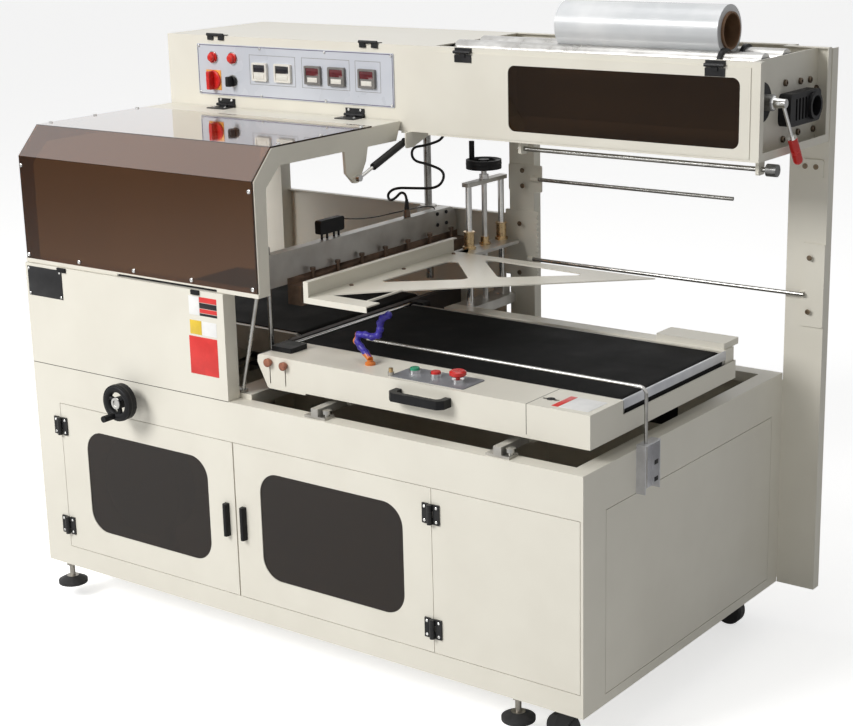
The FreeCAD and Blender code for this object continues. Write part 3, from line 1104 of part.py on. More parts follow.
def make_infeed():
    """Sliding infeed table: tray, covers, belt on two drums, console, handle and hose."""
    x0 = TABLE_X
    x1 = TABLE_END
    y0 = TABLE_Y
    y1 = y0 + TABLE_FRONT_WIDTH
    low = TABLE_BOTTOM
    top = TABLE_TOP
    seam = top - COVER_DROP
    back = 700.0
    step = y1 + 2

    def footprint(inset, z0, z1):
        corners = [(CAP_END + inset, y0 + inset), (x1 - inset, y0 + inset),
                   (x1 - inset, back - inset), (x0 + 15 + inset, back - inset),
                   (x0 + 15 + inset, step + inset), (CAP_END + inset, step + inset)]
        return prism("z", corners, z0, z1)

    tray = footprint(0, low, seam).cut(footprint(2, low + 2, seam + 1))
    for x in RAILS_X:
        for y in (110.0, 600.0):
            saddle = block(x - 22, x + 22, y, y + 70, low - 26, low)
            saddle = saddle.cut(block(x - RAIL_WIDTH / 2 - TOUCH_GAP, x + RAIL_WIDTH / 2 + TOUCH_GAP,
                                      y - 1, y + 71, low - 27, RIM_Z + 6 + RAIL_HEIGHT + TOUCH_GAP))
            tray = tray.fuse(saddle)
    keep("infeed_tray", tray.removeSplitter())
    cover = block(CAP_END, x1, y0, y1, seam, top)
    cover = cover.cut(block(CAP_END + 2, x1 - 2, y0 + 2, y1 - 2, seam - 1, top - 2))
    slot = rounded("z", 1476, 1518, 114, 124, 4.8, top - 3, top + 1)
    cover = cover.cut(slot)
    for x, y, radius in BUTTONS_ALL:
        cover = cover.cut(rod("z", x, y, 5 + RUNNING, top - 3, top + 1))
    keep("infeed_covers", cover)
    cap_outline = [(x0, top, 8), (CAP_END, top), (CAP_END, low - 4), (x0 + 28, low - 4, 10),
                   (x0 - 2, top - 19, 6)]
    inner = [(x0 + 4, top - 2, 6), (CAP_END - 2, top - 2), (CAP_END - 2, low - 1),
             (x0 + 30, low - 1, 8), (x0 + 3, top - 20, 4)]
    cap = prism("y", cap_outline, y0, y1).cut(prism("y", inner, y0 + 2, y1 - 2))
    for x, z in KNOBS:
        cap = cap.cut(block(x - 1.5, x + 1.5, y0 - 1, y0 + 3, top - 67, top - 27))
        knob = turned("y", x, z, [(y0, 0), (y0, 8), (y0 - 4, 10), (y0 - 11, 10), (y0 - 13, 8),
                                  (y0 - 13, 0)])
        keep("table_fittings", knob)
    keep("infeed_covers", cap)
    grown = [(x0 - 4, top + 0, 8), (x0 + 60, top), (x0 + 60, low - 8), (x0 + 26, low - 8, 12),
             (x0 - 6, top - 21, 7)]
    guard = prism("y", grown, y0 + 3, y1).cut(prism("y", cap_outline, y0, y1 + 1))
    guard = guard.cut(block(x0 + 50, x0 + 70, y0, y1 + 1, low - 20, top + 5))
    keep("table_fittings", guard)
    outer = TABLE_ROLLER + TOUCH_GAP + BELT_THICKNESS
    nose = TABLE_NOSE + TOUCH_GAP + BELT_THICKNESS
    rx = x1 - 3 - outer
    rz = BED_Z - outer
    nx = x0 + 16
    nz = BED_Z - nose
    by0 = TABLE_BELT_Y
    by1 = by0 + TABLE_BELT_WIDTH
    keep("infeed_belt", belt_loop(nx, nz, nose, rx, rz, outer, BELT_THICKNESS, by0, by1))
    bed_top = BED_Z - BELT_THICKNESS - TOUCH_GAP
    bed = block(nx + 20, rx - 26, by0 - 2, by1 + 2, bed_top - 5, bed_top)
    for a in (by0 - TABLE_SIDE - 1, by1 + 1):
        bed = bed.fuse(block(nx - 7, rx + 18, a, a + TABLE_SIDE, seam, BED_Z - 1))
        bed = bed.fuse(block(CAP_END + 8, x1 - 30, a, a + TABLE_SIDE, low + 2, seam + 1))
    for x, z in ((nx, nz), (rx, rz)):
        bed = bed.cut(rod("y", x, z, 4 + RUNNING, by0 - 20, by1 + 20))
    keep("infeed_tray", bed.removeSplitter())
    for name, x, z, radius in (("infeed_nose_roller", nx, nz, TABLE_NOSE),
                               ("infeed_drive_roller", rx, rz, TABLE_ROLLER)):
        drum = rod("y", x, z, radius, by0 - 0.5, by1 + 0.5)
        axle = rod("y", x, z, 4, by0 - TABLE_SIDE - 1, by1 + TABLE_SIDE + 1)
        keep(name, joined(drum, axle))
    bar_x = nx - nose - 8
    bar = rod("y", bar_x, top - 5, 4, y1, by1 + 40)
    keep("infeed_metal", bar)
    keep("table_fittings", without(joined(
        rounded("y", bar_x - 5, bar_x + 40, top - 25, top + 2, 5, by1 + TABLE_SIDE + 2, by1 + 44)),
        bar, rod("y", nx, nz, 5, 0, by1 + TABLE_SIDE + 3)))
    rail = block(REAR_RAIL_X, x1 - 4, back - REAR_RAIL_WIDTH - 3, back - 3, low + 2, top)
    keep("infeed_covers", rail)
    keep("infeed_covers", rounded("z", 1440, 1620, back - REAR_RAIL_WIDTH, back + 30, 4, top, top + 15))
    console = rounded("z", CONSOLE_X, CONSOLE_X + CONSOLE_LENGTH, CONSOLE_Y, CONSOLE_Y + CONSOLE_WIDTH,
                      4, top, top + CONSOLE_SHEET)
    for x, y, radius in BUTTONS_ALL:
        console = console.cut(rod("z", x, y, 5 + RUNNING, top - 1, top + 5))
    keep("infeed_metal", console)
    deck = top + CONSOLE_SHEET
    for name, (x, y, radius) in zip(("start_button", "stop_button"), BUTTONS_ALL[:2]):
        keep("infeed_metal", ring("z", x, y, radius + 3, radius + 0.4, deck, deck + 8))
        head = turned("z", x, y, [(deck + 4, 0), (deck + 4, radius), (deck + 12, radius),
                                  (deck + 13, radius - 1), (deck + 13, 0)])
        keep(name, joined(head, rod("z", x, y, 5, top - 12, deck + 5)))
    x, y, radius = BUTTONS_ALL[2]
    keep("infeed_metal", ring("z", x, y, 14, 5.4, deck, deck + 7))
    head = turned("z", x, y, [(deck + 12, 0), (deck + 12, 13), (deck + 16, radius),
                              (deck + 23, radius), (deck + 26, radius - 4), (deck + 26, 0)])
    keep("emergency_stop", joined(head, rod("z", x, y, 5, top - 12, deck + 13)))
    a, b = HANDLE_X
    out = y0 - HANDLE_REACH
    grip = [(a - 7, y0), (a - 7, out + 12, 4), (a + 6, out, 6), (b - 6, out, 6), (b + 7, out + 12, 4),
            (b + 7, y0), (b - 9, y0), (b - 9, out + 20, 4), (b - 16, out + 13, 4),
            (a + 16, out + 13, 4), (a + 9, out + 20, 4), (a + 9, y0)]
    keep("table_fittings", prism("z", grip, HANDLE_Z - 10, HANDLE_Z + 10))
    box = rounded("z", 728, 790, 100, 160, 4, top, top + 12)
    keep("table_fittings", box)


BUTTONS_ALL = (
    (BUTTONS[0][0], BUTTONS[0][1], 11.0),
    (BUTTONS[1][0], BUTTONS[1][1], 11.0),
    (STOP_BUTTON[0], STOP_BUTTON[1], 19.0),
)
HOSE_RADIUS = 9.0
HOSE_ROUTE = ((1004, 127, 770), (986, 134, 780), (966, 142, 790), (948, 150, 800), (952, 153, 814),
              (970, 154, 816), (990, 154, 814), (1006, 156, 820), (1010, 159, 834), (1010, 160, 848),
              (1016, 162, 860), (1030, 165, 868))


def make_hose_and_guide():
    """Ball-jointed air hose on the cover, and the bent product guide with its side bracket."""
    top = TABLE_TOP
    base = turned("z", 1004, 127, [(top, 0), (top, 12), (top + 5, 12), (top + 8, 7),
                                   (top + 12, 7), (top + 12, 0)])
    keep("table_fittings", base)
    hose = None
    for start, end in zip(HOSE_ROUTE, HOSE_ROUTE[1:]):
        link = bar_between(start, end, HOSE_RADIUS - 1.5)
        link = link.fuse(Part.makeSphere(HOSE_RADIUS, V(*end)))
        hose = link if hose is None else hose.fuse(link)
    hose = hose.cut(rod("z", 1004, 127, 30, top, top + 12))
    keep("table_fittings", hose)
    x = CABINET_LENGTH
    bracket = block(x, x + 22, 211, 275, 549, 658)
    bracket = bracket.cut(block(x + 3, x + 23, 214, 272, 546, 655))
    bracket = bracket.cut(rod("z", x + 13, 228, 4.06, 500, 700))
    for z in (575, 615):
        bracket = bracket.cut(rounded("x", 244, 252, z, z + 26, 3.9, x - 1, x + 9))
    keep("cabinet_panels", bracket)
    knee = 16.0
    level = 781.0
    rod_x = x + 13
    upright = Part.makeLine(V(rod_x, 228, 560), V(rod_x, 228, level - knee))
    turn = Part.Arc(V(rod_x, 228, level - knee),
                    V(rod_x - knee + knee * math.cos(math.radians(45)), 228,
                      level - knee + knee * math.sin(math.radians(45))),
                    V(rod_x - knee, 228, level)).toShape()
    run = Part.makeLine(V(rod_x - knee, 228, level), V(915, 228, level))
    path = Part.Wire([upright, turn, run])
    section = Part.Wire([Part.makeCircle(4, V(rod_x, 228, 560), V(0, 0, 1))])
    keep("guide_rods", path.makePipeShell([section], True, False))


def make_rails():
    """Cross rails that the infeed table slides on, with rim brackets and clamp discs."""
    y_end = CABINET_DEPTH - 6
    for x in RAILS_X:
        rail = block(x - RAIL_WIDTH / 2, x + RAIL_WIDTH / 2, 6, y_end, RIM_Z + 6,
                     RIM_Z + 6 + RAIL_HEIGHT)
        for y in (6, CABINET_DEPTH - RIM_WIDTH + 2):
            rail = rail.fuse(block(x - 30, x + 30, y, y + 34, RIM_Z, RIM_Z + 6))
        keep("cross_members", rail.removeSplitter())
        disc = turned("z", x + 22, 24, [(RIM_Z + 6, 0), (RIM_Z + 6, 6), (RIM_Z + 12, 6),
                                        (RIM_Z + 12, 11), (RIM_Z + 20, 11), (RIM_Z + 20, 0)])
        keep("guide_rods", disc)


def make_film_head():
    """Film opening plate on two posts, raised by the top handwheel's screw."""
    z = HEAD_Z
    left = HEAD_LEFT
    hx = HEAD_POST_X
    plate = prism("z", [(left, 100), (967, 230), (1434, 663), (left, 667)], z - HEAD_SHEET, z)
    cut_one = prism("z", [(897, 292, 12), (1066, 431, 20), (905, 600, 20)], z - 9, z + 9)
    cut_two = prism("z", [(962, 634, 14), (1113, 481, 14), (1287, 617, 14)], z - 9, z + 9)
    strip = block(left, 1030, 87, 135, z - HEAD_SHEET, z)
    lip = block(left, 1030, 87, 89, z - 14, z)
    flange = block(left, left + 3, 88, 667, z - HEAD_SHEET, z + FLANGE_HEIGHT)
    flange_top = block(left, left + 14, 88, 667, z + FLANGE_HEIGHT - 2, z + FLANGE_HEIGHT)
    front = block(left, left + 14, 87, 90, z - HEAD_SHEET, z + FLANGE_HEIGHT)
    wire = rod("y", 996, z - 1.5, 3, 134, 262)
    head = joined(plate.cut(cut_one).cut(cut_two), strip, lip, flange, flange_top, front, wire)
    keep("film_plate", head)
    carriage = rounded("z", hx - 17, hx + 48, 640, 884, 6, z - HEAD_SHEET - 8, z - HEAD_SHEET)
    carriage = carriage.cut(rod("z", hx, HEAD_SCREW_Y, HEAD_SCREW_RADIUS + RUNNING, 0, z + 1))
    for y in (HEAD_POST_FRONT, HEAD_POST_BACK):
        carriage = carriage.cut(rod("z", hx, y, HEAD_POST_RADIUS + RUNNING, 0, z + 1))
        seat = z - HEAD_SHEET
        bush = turned("z", hx, y, [(seat, HEAD_POST_RADIUS + RUNNING), (seat, 17), (seat + 6, 17),
                                   (seat + 6, 13), (seat + 42, 13), (seat + 42, 15), (seat + 45, 15),
                                   (seat + 45, HEAD_POST_RADIUS + RUNNING)])
        if y == HEAD_POST_BACK:
            bush = bush.cut(block(hx - 30, hx + 30, 885, 900, 0, 2000))
        keep("film_plate", bush)
    seat = z - HEAD_SHEET
    keep("film_plate", turned("z", hx, HEAD_SCREW_Y,
                               [(seat, HEAD_SCREW_RADIUS + RUNNING), (seat, 15), (seat + 5, 15),
                                (seat + 5, 11), (seat + 20, 11),
                                (seat + 20, HEAD_SCREW_RADIUS + RUNNING)]))
    keep("film_plate", carriage)
    base = rounded("z", hx - 31, hx + 35, 697, 884, 4, TABLE_TOP - 24, TABLE_TOP)
    base = base.cut(rod("z", hx, HEAD_SCREW_Y, HEAD_SCREW_RADIUS + RUNNING, 0, TABLE_TOP + 1))
    block_back = rounded("z", hx - 16, hx + 16, HEAD_POST_BACK - 17, HEAD_POST_BACK + 15, 3,
                         TABLE_TOP - 1, TABLE_TOP + 22)
    keep("infeed_covers", joined(base, block_back).cut(
        rod("z", hx, HEAD_POST_BACK, HEAD_POST_RADIUS, TABLE_TOP - 9, TABLE_TOP + 30)).cut(
        rod("z", hx, HEAD_POST_FRONT, HEAD_POST_RADIUS, TABLE_TOP - 9, TABLE_TOP + 30)))
    for y in (HEAD_POST_FRONT, HEAD_POST_BACK):
        keep("infeed_metal", rod("z", hx, y, HEAD_POST_RADIUS, TABLE_TOP - 9, HEAD_BAR_Z))
    bar = rounded("z", hx - 13, hx + 13, HEAD_POST_FRONT - 14, HEAD_POST_BACK + 14, 6, HEAD_BAR_Z,
                  HEAD_BAR_Z + 10)
    keep("infeed_covers", bar.cut(rod("z", hx, HEAD_SCREW_Y, HEAD_SCREW_RADIUS + RUNNING, 0, 2000)))
    wheel_z = HEAD_BAR_Z + 50
    screw = rod("z", hx, HEAD_SCREW_Y, HEAD_SCREW_RADIUS, TABLE_TOP - 23, wheel_z + 4)
    collar = rod("z", hx, HEAD_SCREW_Y, 12, HEAD_BAR_Z + 10.3, HEAD_BAR_Z + 22)
    screw = joined(screw, collar)
    keep("head_handwheel", screw)
    wheel = spoked_wheel("z", hx, HEAD_SCREW_Y, HEAD_WHEEL_RADIUS, 9, 14, wheel_z - 14, wheel_z + 10,
                         wheel_z)
    peg = rod("z", hx + HEAD_WHEEL_RADIUS - 9, HEAD_SCREW_Y, 7, wheel_z - 2, wheel_z + 54)
    keep("head_handwheel", joined(wheel, peg).cut(screw))


CABLE_RADIUS = 3.5
GLAND_TOP = 992.0
CABLE_ROUTE = (
    (738.0, 800.0, 1219.0),
    (738.0, 800.0, 1166.0),
    (672.0, 800.0, 1141.0),
    (622.0, 800.0, 1133.0),
    (626.0, 796.0, 1098.0),
    (686.0, 790.0, 1094.0),
    (746.0, 782.0, 1080.0),
    (734.0, 768.0, 1038.0),
    (664.0, 752.0, 1035.0),
    (610.0, 735.0, 1032.0),
    (606.0, 716.0, 1000.0),
    (642.0, 702.0, 1018.0),
    (686.0, 690.0, 1034.0),
    (686.0, 690.0, GLAND_TOP),
)


def tube_along(route, radius):
    """Round tube along a route whose corners are rounded by arcs."""
    marks = [V(*p) for p in route]
    edges = []
    last = marks[0]
    for before, corner, after in zip(marks, marks[1:], marks[2:]):
        back = before - corner
        ahead = after - corner
        reach = 0.45 * min(back.Length, ahead.Length)
        enter = corner + V(back).normalize() * reach
        leave = corner + V(ahead).normalize() * reach
        half = back.getAngle(ahead) / 2
        inward = V(back).normalize() + V(ahead).normalize()
        inward.normalize()
        bend = reach * math.tan(half)
        middle = corner + inward * (reach / math.cos(half) - bend)
        edges.append(Part.makeLine(last, enter))
        edges.append(Part.Arc(enter, middle, leave).toShape())
        last = leave
    edges.append(Part.makeLine(last, marks[-1]))
    section = Part.Wire([Part.makeCircle(radius, marks[0], marks[1] - marks[0])])
    return Part.Wire(edges).makePipeShell([section], True, False)


def make_jaw_cable():
    """Cable that hangs in loose waves from the control box to the gland on the jaw beam."""
    keep("jaw_cable", tube_along(CABLE_ROUTE, CABLE_RADIUS))


def make_inside():
    """Film scrap reel behind the left door and the belt drive behind the right one."""
    rx, rz = 300.0, 350.0
    reel = turned("y", rx, rz, [(62, 8.06), (62, 130), (65, 130), (65, 24), (118, 24), (118, 130),
                                (121, 130), (121, 8.06)])
    keep("scrap_reel", reel)
    stand = rounded("y", rx - 22, rx + 22, UNDERSIDE_Z + SHEET, rz + 24, 8, 132, 150)
    foot = block(rx - 60, rx + 60, 110, 200, UNDERSIDE_Z + SHEET, UNDERSIDE_Z + SHEET + 5)
    shaft = rod("y", rx, rz, 8, 56, 133)
    collar = rod("y", rx, rz, 18, 122, 133)
    keep("drive_units", joined(stand, foot, shaft, collar))
    low = UNDERSIDE_Z + SHEET
    motor = rod("x", 420, low + 84, 62, 900, 1075)
    foot = block(910, 1065, 360, 480, low, low + 40)
    gear = rounded("x", 360, 480, low, low + 150, 10, 1075, 1165)
    shaft = rod("y", 1120, low + 90, 11, 330, 361)
    keep("drive_units", joined(motor, foot, gear, shaft))


def make_rod_under_box():
    """Guide rod under the film box on two hangers, with its end block."""
    y, z = 600.0, 1192.0
    for x in (1104.0, 1722.0):
        hanger = rounded("x", y - 14, y + 14, z - 12, FILM_BOTTOM, 5, x, x + 8)
        keep("film_box", hanger.cut(rod("x", y, z, 5.5, x - 1, x + 9)))
    keep("guide_rods", rod("x", y, z, 5.5, 1096, 1744))
    keep("bearing_housings", rod("x", y, z, 14, 1744, 1768))
    plate = rounded("y", 1686, 1738, 1126, 1170, 5, CABINET_DEPTH - PLATE_SHEET, CABINET_DEPTH)
    keep("rear_columns", plate)


CASTORS = {
    "castor_front_right": (CASTOR_RIGHT_X, CASTOR_INSET_Y, -1),
    "castor_back_right": (CASTOR_RIGHT_X, CABINET_DEPTH - CASTOR_INSET_Y, -1),
    "castor_front_left": (CASTOR_LEFT_X, CASTOR_LEFT_FRONT_Y, 1),
    "castor_back_left": (CASTOR_LEFT_X, CABINET_DEPTH - CASTOR_INSET_Y, 1),
}

make_cabinet()
make_back_panels()
make_fixed_panels()
make_door("left_door", OPENING_LEFT + PANEL_GAP, DOOR_SPLIT - 2, OPENING_LEFT + PANEL_GAP, 1)
make_door("right_door", DOOR_SPLIT + 2, RIGHT_DOOR_END - PANEL_GAP / 2, RIGHT_DOOR_END, -1)
for castor, (castor_x, castor_y, castor_way) in CASTORS.items():
    make_castor(castor, castor_x, castor_y, castor_way)
make_feet()
make_uprights()
make_guide_plates()
make_control_box()
make_film_box()
make_film_door()
make_film_and_lever()
make_rod_under_box()
make_hood()
make_strut()
make_front_cover()
make_exit_belt()
make_lift()
make_jaw()
make_rails()
make_infeed()
make_hose_and_guide()
make_film_head()
make_jaw_cable()
make_inside()

everything = Part.makeCompound([solid for solids in pieces.values() for solid in solids])
box = everything.optimalBoundingBox(False, False)
shift = V(-(box.XMin + box.XMax) / 2, -(box.YMin + box.YMax) / 2, -box.ZMin)
print("shift", round(shift.x, 4), round(shift.y, 4), round(shift.z, 4))
print("size", round(box.XLength, 2), round(box.YLength, 2), round(box.ZLength, 2))
for name, solids in pieces.items():
    found = [body for solid in solids for body in solid.Solids]
    shape = found[0] if len(found) == 1 else Part.makeCompound(found)
    shape = shape.copy()
    shape.translate(shift)
    shape.exportStep("parts/" + name + ".step")
print(len(pieces), "nodes")
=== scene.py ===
import bpy
import bmesh
import math
from mathutils import Matrix, Vector


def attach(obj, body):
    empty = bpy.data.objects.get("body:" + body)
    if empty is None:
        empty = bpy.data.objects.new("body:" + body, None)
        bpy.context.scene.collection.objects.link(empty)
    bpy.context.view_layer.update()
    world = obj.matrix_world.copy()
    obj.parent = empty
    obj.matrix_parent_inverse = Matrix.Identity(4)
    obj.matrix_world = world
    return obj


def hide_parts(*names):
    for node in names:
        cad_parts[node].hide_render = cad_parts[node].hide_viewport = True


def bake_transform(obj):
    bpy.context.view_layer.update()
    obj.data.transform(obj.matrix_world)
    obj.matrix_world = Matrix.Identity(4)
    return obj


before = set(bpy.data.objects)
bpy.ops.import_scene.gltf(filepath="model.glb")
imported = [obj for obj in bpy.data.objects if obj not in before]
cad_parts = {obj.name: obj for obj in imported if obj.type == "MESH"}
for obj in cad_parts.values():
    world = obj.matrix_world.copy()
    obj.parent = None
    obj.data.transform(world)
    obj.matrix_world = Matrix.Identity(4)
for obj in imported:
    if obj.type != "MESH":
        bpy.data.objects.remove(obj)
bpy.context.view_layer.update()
bpy.ops.object.select_all(action="DESELECT")

# Camera: it stands in front of the machine's right end, a little above the film box, and looks
# down along the table. Place, turn and lens come from the straight edges of the cabinet.
CORNER_X = 889.0
CORNER_Y = 420.5


def at(x, y, z):
    """A place in metres, from millimetres along the cabinet from its exit end, back from its front, and up."""
    return Vector(((x - CORNER_X) / 1000.0, (y - CORNER_Y) / 1000.0, z / 1000.0))


YAW = math.radians(37.16)
PITCH = math.radians(15.586)
ROLL = math.radians(-1.398)
ahead = Vector((-math.sin(YAW) * math.cos(PITCH), math.cos(YAW) * math.cos(PITCH), -math.sin(PITCH)))
level = Vector((math.cos(YAW), math.sin(YAW), 0.0))
overhead = level.cross(ahead)
across = level * math.cos(ROLL) + overhead * math.sin(ROLL)
upward = overhead * math.cos(ROLL) - level * math.sin(ROLL)
lens = bpy.data.cameras.new("camera")
lens.lens = 75.22
lens.clip_start = 0.1
lens.clip_end = 60.0
camera = bpy.data.objects.new("camera", lens)
bpy.context.scene.collection.objects.link(camera)
turn = Matrix((across, upward, -ahead)).transposed().to_4x4()
camera.matrix_world = Matrix.Translation(at(3457.2, -2898.7, 1843.6)) @ turn
bpy.context.scene.camera = camera
bpy.context.scene.view_settings.view_transform = "Standard"

# Jaw cable: a limp black control cable, 7 mm thick, hangs in loose waves from the control box down
# to the gland on the seal jaw. A short ribbed rubber boot guards it at each end.
CABLE_RADIUS = 3.5
CABLE_ROUTE = (
    (738, 800, 1219), (738, 800, 1166), (672, 800, 1141), (622, 800, 1133), (626, 796, 1098),
    (686, 790, 1094), (746, 782, 1080), (734, 768, 1038), (664, 752, 1035), (612, 738, 1034),
    (594, 727, 1018), (610, 714, 1003), (640, 702, 1014), (666, 695, 1036), (688, 690, 1026),
    (686, 690, 992),
)
BOOT_LENGTH = 26.0
BOOT_RIBS = 6


def coated(name, tint, shade, gloss=(0.30, 0.42), patch=5.0, grain=900.0, relief=0.00006, metallic=0.0, wear=None, shine=0.5):
    """A procedural skin: two close tints drift over the piece, and a fine grain moves gloss and relief."""
    finish = bpy.data.materials.new(name)
    finish.use_nodes = True
    nodes = finish.node_tree.nodes
    links = finish.node_tree.links
    shader = nodes["Principled BSDF"]
    shader.inputs["Metallic"].default_value = metallic
    shader.inputs["Specular IOR Level"].default_value = shine
    place = nodes.new("ShaderNodeTexCoord")
    drift = nodes.new("ShaderNodeTexNoise")
    drift.inputs["Scale"].default_value = patch
    drift.inputs["Detail"].default_value = 3.0
    drift.inputs["Roughness"].default_value = 0.55
    links.new(place.outputs["Object"], drift.inputs["Vector"])
    tints = nodes.new("ShaderNodeValToRGB")
    tints.color_ramp.elements[0].position = 0.36
    tints.color_ramp.elements[0].color = shade
    tints.color_ramp.elements[1].position = 0.62
    tints.color_ramp.elements[1].color = tint
    links.new(drift.outputs["Fac"], tints.inputs["Fac"])
    skin = nodes.new("ShaderNodeTexNoise")
    skin.inputs["Scale"].default_value = grain
    skin.inputs["Detail"].default_value = 2.0
    links.new(place.outputs["Object"], skin.inputs["Vector"])
    dull = nodes.new("ShaderNodeMapRange")
    dull.inputs["From Min"].default_value = 0.3
    dull.inputs["From Max"].default_value = 0.7
    dull.inputs["To Min"].default_value = gloss[0]
    dull.inputs["To Max"].default_value = gloss[1]
    links.new(drift.outputs["Fac"], dull.inputs["Value"])
    links.new(dull.outputs["Result"], shader.inputs["Roughness"])
    raised = nodes.new("ShaderNodeBump")
    raised.inputs["Strength"].default_value = 0.35
    raised.inputs["Distance"].default_value = relief
    links.new(skin.outputs["Fac"], raised.inputs["Height"])
    links.new(raised.outputs["Normal"], shader.inputs["Normal"])
    if wear is None:
        links.new(tints.outputs["Color"], shader.inputs["Base Color"])
    else:
        scuff = nodes.new("ShaderNodeTexNoise")
        scuff.inputs["Scale"].default_value = wear[0]
        scuff.inputs["Detail"].default_value = 6.0
        scuff.inputs["Roughness"].default_value = 0.7
        links.new(place.outputs["Object"], scuff.inputs["Vector"])
        spots = nodes.new("ShaderNodeValToRGB")
        spots.color_ramp.elements[0].position = wear[1]
        spots.color_ramp.elements[0].color = (0.0, 0.0, 0.0, 1.0)
        spots.color_ramp.elements[1].position = wear[1] + 0.12
        spots.color_ramp.elements[1].color = (wear[2], wear[2], wear[2], 1.0)
        links.new(scuff.outputs["Fac"], spots.inputs["Fac"])
        worn = nodes.new("ShaderNodeMix")
        worn.data_type = "RGBA"
        worn.inputs["B"].default_value = wear[3]
        links.new(spots.outputs["Color"], worn.inputs["Factor"])
        links.new(tints.outputs["Color"], worn.inputs["A"])
        links.new(worn.outputs["Result"], shader.inputs["Base Color"])
    return finish


def dress(finish, *pieces):
    """Gives each CAD node or new piece one finish."""
    for piece in pieces:
        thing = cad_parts[piece] if isinstance(piece, str) else piece
        thing.data.materials.clear()
        thing.data.materials.append(finish)


def settle(piece, name, finish, body, angle=30.0):
    """Names a new piece, fixes its place in its mesh, rounds its shading, and gives it finish and body."""
    piece.name = name
    piece.data.name = name
    bpy.ops.object.select_all(action="DESELECT")
    piece.select_set(True)
    bpy.context.view_layer.objects.active = piece
    bpy.ops.object.transform_apply(location=True, rotation=True, scale=True)
    bpy.ops.object.shade_smooth_by_angle(angle=math.radians(angle))
    piece.select_set(False)
    dress(finish, piece)
    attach(piece, body)
    return piece


def boot(name, root, rising, finish, body):
    """A ribbed rubber sleeve that narrows along the cable, from a point in millimetres, up or down."""
    bpy.ops.object.select_all(action="DESELECT")
    bpy.ops.mesh.primitive_circle_add(vertices=24, radius=0.0078, fill_type="NGON", location=at(*root))
    sleeve = bpy.context.object
    bpy.ops.object.transform_apply(location=True, rotation=True, scale=True)
    bpy.ops.object.mode_set(mode="EDIT")
    bpy.ops.mesh.select_all(action="SELECT")
    step = rising * BOOT_LENGTH / 1000.0 / BOOT_RIBS
    for rib in range(BOOT_RIBS):
        bpy.ops.mesh.extrude_region_move(TRANSFORM_OT_translate={"value": (0.0, 0.0, step * 0.6)})
        bpy.ops.transform.resize(value=(0.84, 0.84, 1.0))
        bpy.ops.mesh.extrude_region_move(TRANSFORM_OT_translate={"value": (0.0, 0.0, step * 0.4)})
        bpy.ops.transform.resize(value=(1.07, 1.07, 1.0))
    bpy.ops.mesh.select_all(action="SELECT")
    bpy.ops.mesh.remove_doubles(threshold=0.00001)
    bpy.ops.mesh.normals_make_consistent(inside=False)
    bpy.ops.object.mode_set(mode="OBJECT")
    return settle(sleeve, name, finish, body)


cable_black = coated("cable_black", (0.020, 0.020, 0.021, 1.0), (0.012, 0.012, 0.013, 1.0), gloss=(0.4, 0.55), patch=60.0, shine=0.3)
cable_line = bpy.data.curves.new("jaw_cable_line", "CURVE")
cable_line.dimensions = "3D"
cable_line.resolution_u = 10
cable_run = cable_line.splines.new("NURBS")
cable_run.points.add(len(CABLE_ROUTE) - 1)
for turning, spot in zip(cable_run.points, CABLE_ROUTE):
    turning.co = (*at(*spot), 1.0)
cable_run.order_u = 3
cable_run.use_endpoint_u = True
cable_guide = bpy.data.objects.new("jaw_cable_guide", cable_line)
bpy.context.scene.collection.objects.link(cable_guide)
bpy.context.view_layer.update()
cable_path = [v.co.copy() for v in bpy.data.meshes.new_from_object(cable_guide).vertices]
cable_line.bevel_depth = CABLE_RADIUS / 1000.0
cable_line.bevel_resolution = 4
cable_line.use_fill_caps = True
bpy.context.view_layer.update()
cable = bpy.data.objects.new("jaw_cable_tube", bpy.data.meshes.new_from_object(cable_guide))
bpy.context.scene.collection.objects.link(cable)
bpy.data.objects.remove(cable_guide)
for face in cable.data.polygons:
    face.use_smooth = True
dress(cable_black, cable)
box_boot = boot("jaw_cable_boot_top", (738, 800, 1219), -1.0, cable_black, "base")
jaw_boot = boot("jaw_cable_boot_bottom", (686, 690, 992), 1.0, cable_black, "jaw_body")
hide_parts("jaw_cable")
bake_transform(cable)

# Light: an even grey sky fills every side, and a large soft lamp high on the left front makes the
# front brighter than the right end. The camera, gloss and glass see a white room.
FILL = 0.27
world = bpy.data.worlds.new("studio")
bpy.context.scene.world = world
world.use_nodes = True
sky = world.node_tree.nodes
sky_links = world.node_tree.links
fill = sky["Background"]
fill.inputs["Color"].default_value = (1.0, 1.0, 1.0, 1.0)
fill.inputs["Strength"].default_value = FILL
white = sky.new("ShaderNodeBackground")
white.inputs["Color"].default_value = (1.0, 1.0, 1.0, 1.0)
white.inputs["Strength"].default_value = 1.0
ray = sky.new("ShaderNodeLightPath")
seen = sky.new("ShaderNodeMath")
seen.operation = "MAXIMUM"
sky_links.new(ray.outputs["Is Camera Ray"], seen.inputs[0])
sky_links.new(ray.outputs["Is Transmission Ray"], seen.inputs[1])
mirrored = sky.new("ShaderNodeMath")
mirrored.operation = "MAXIMUM"
sky_links.new(seen.outputs[0], mirrored.inputs[0])
sky_links.new(ray.outputs["Is Glossy Ray"], mirrored.inputs[1])
choose = sky.new("ShaderNodeMixShader")
sky_links.new(mirrored.outputs[0], choose.inputs[0])
sky_links.new(fill.outputs[0], choose.inputs[1])
sky_links.new(white.outputs[0], choose.inputs[2])
sky_links.new(choose.outputs[0], sky["World Output"].inputs["Surface"])


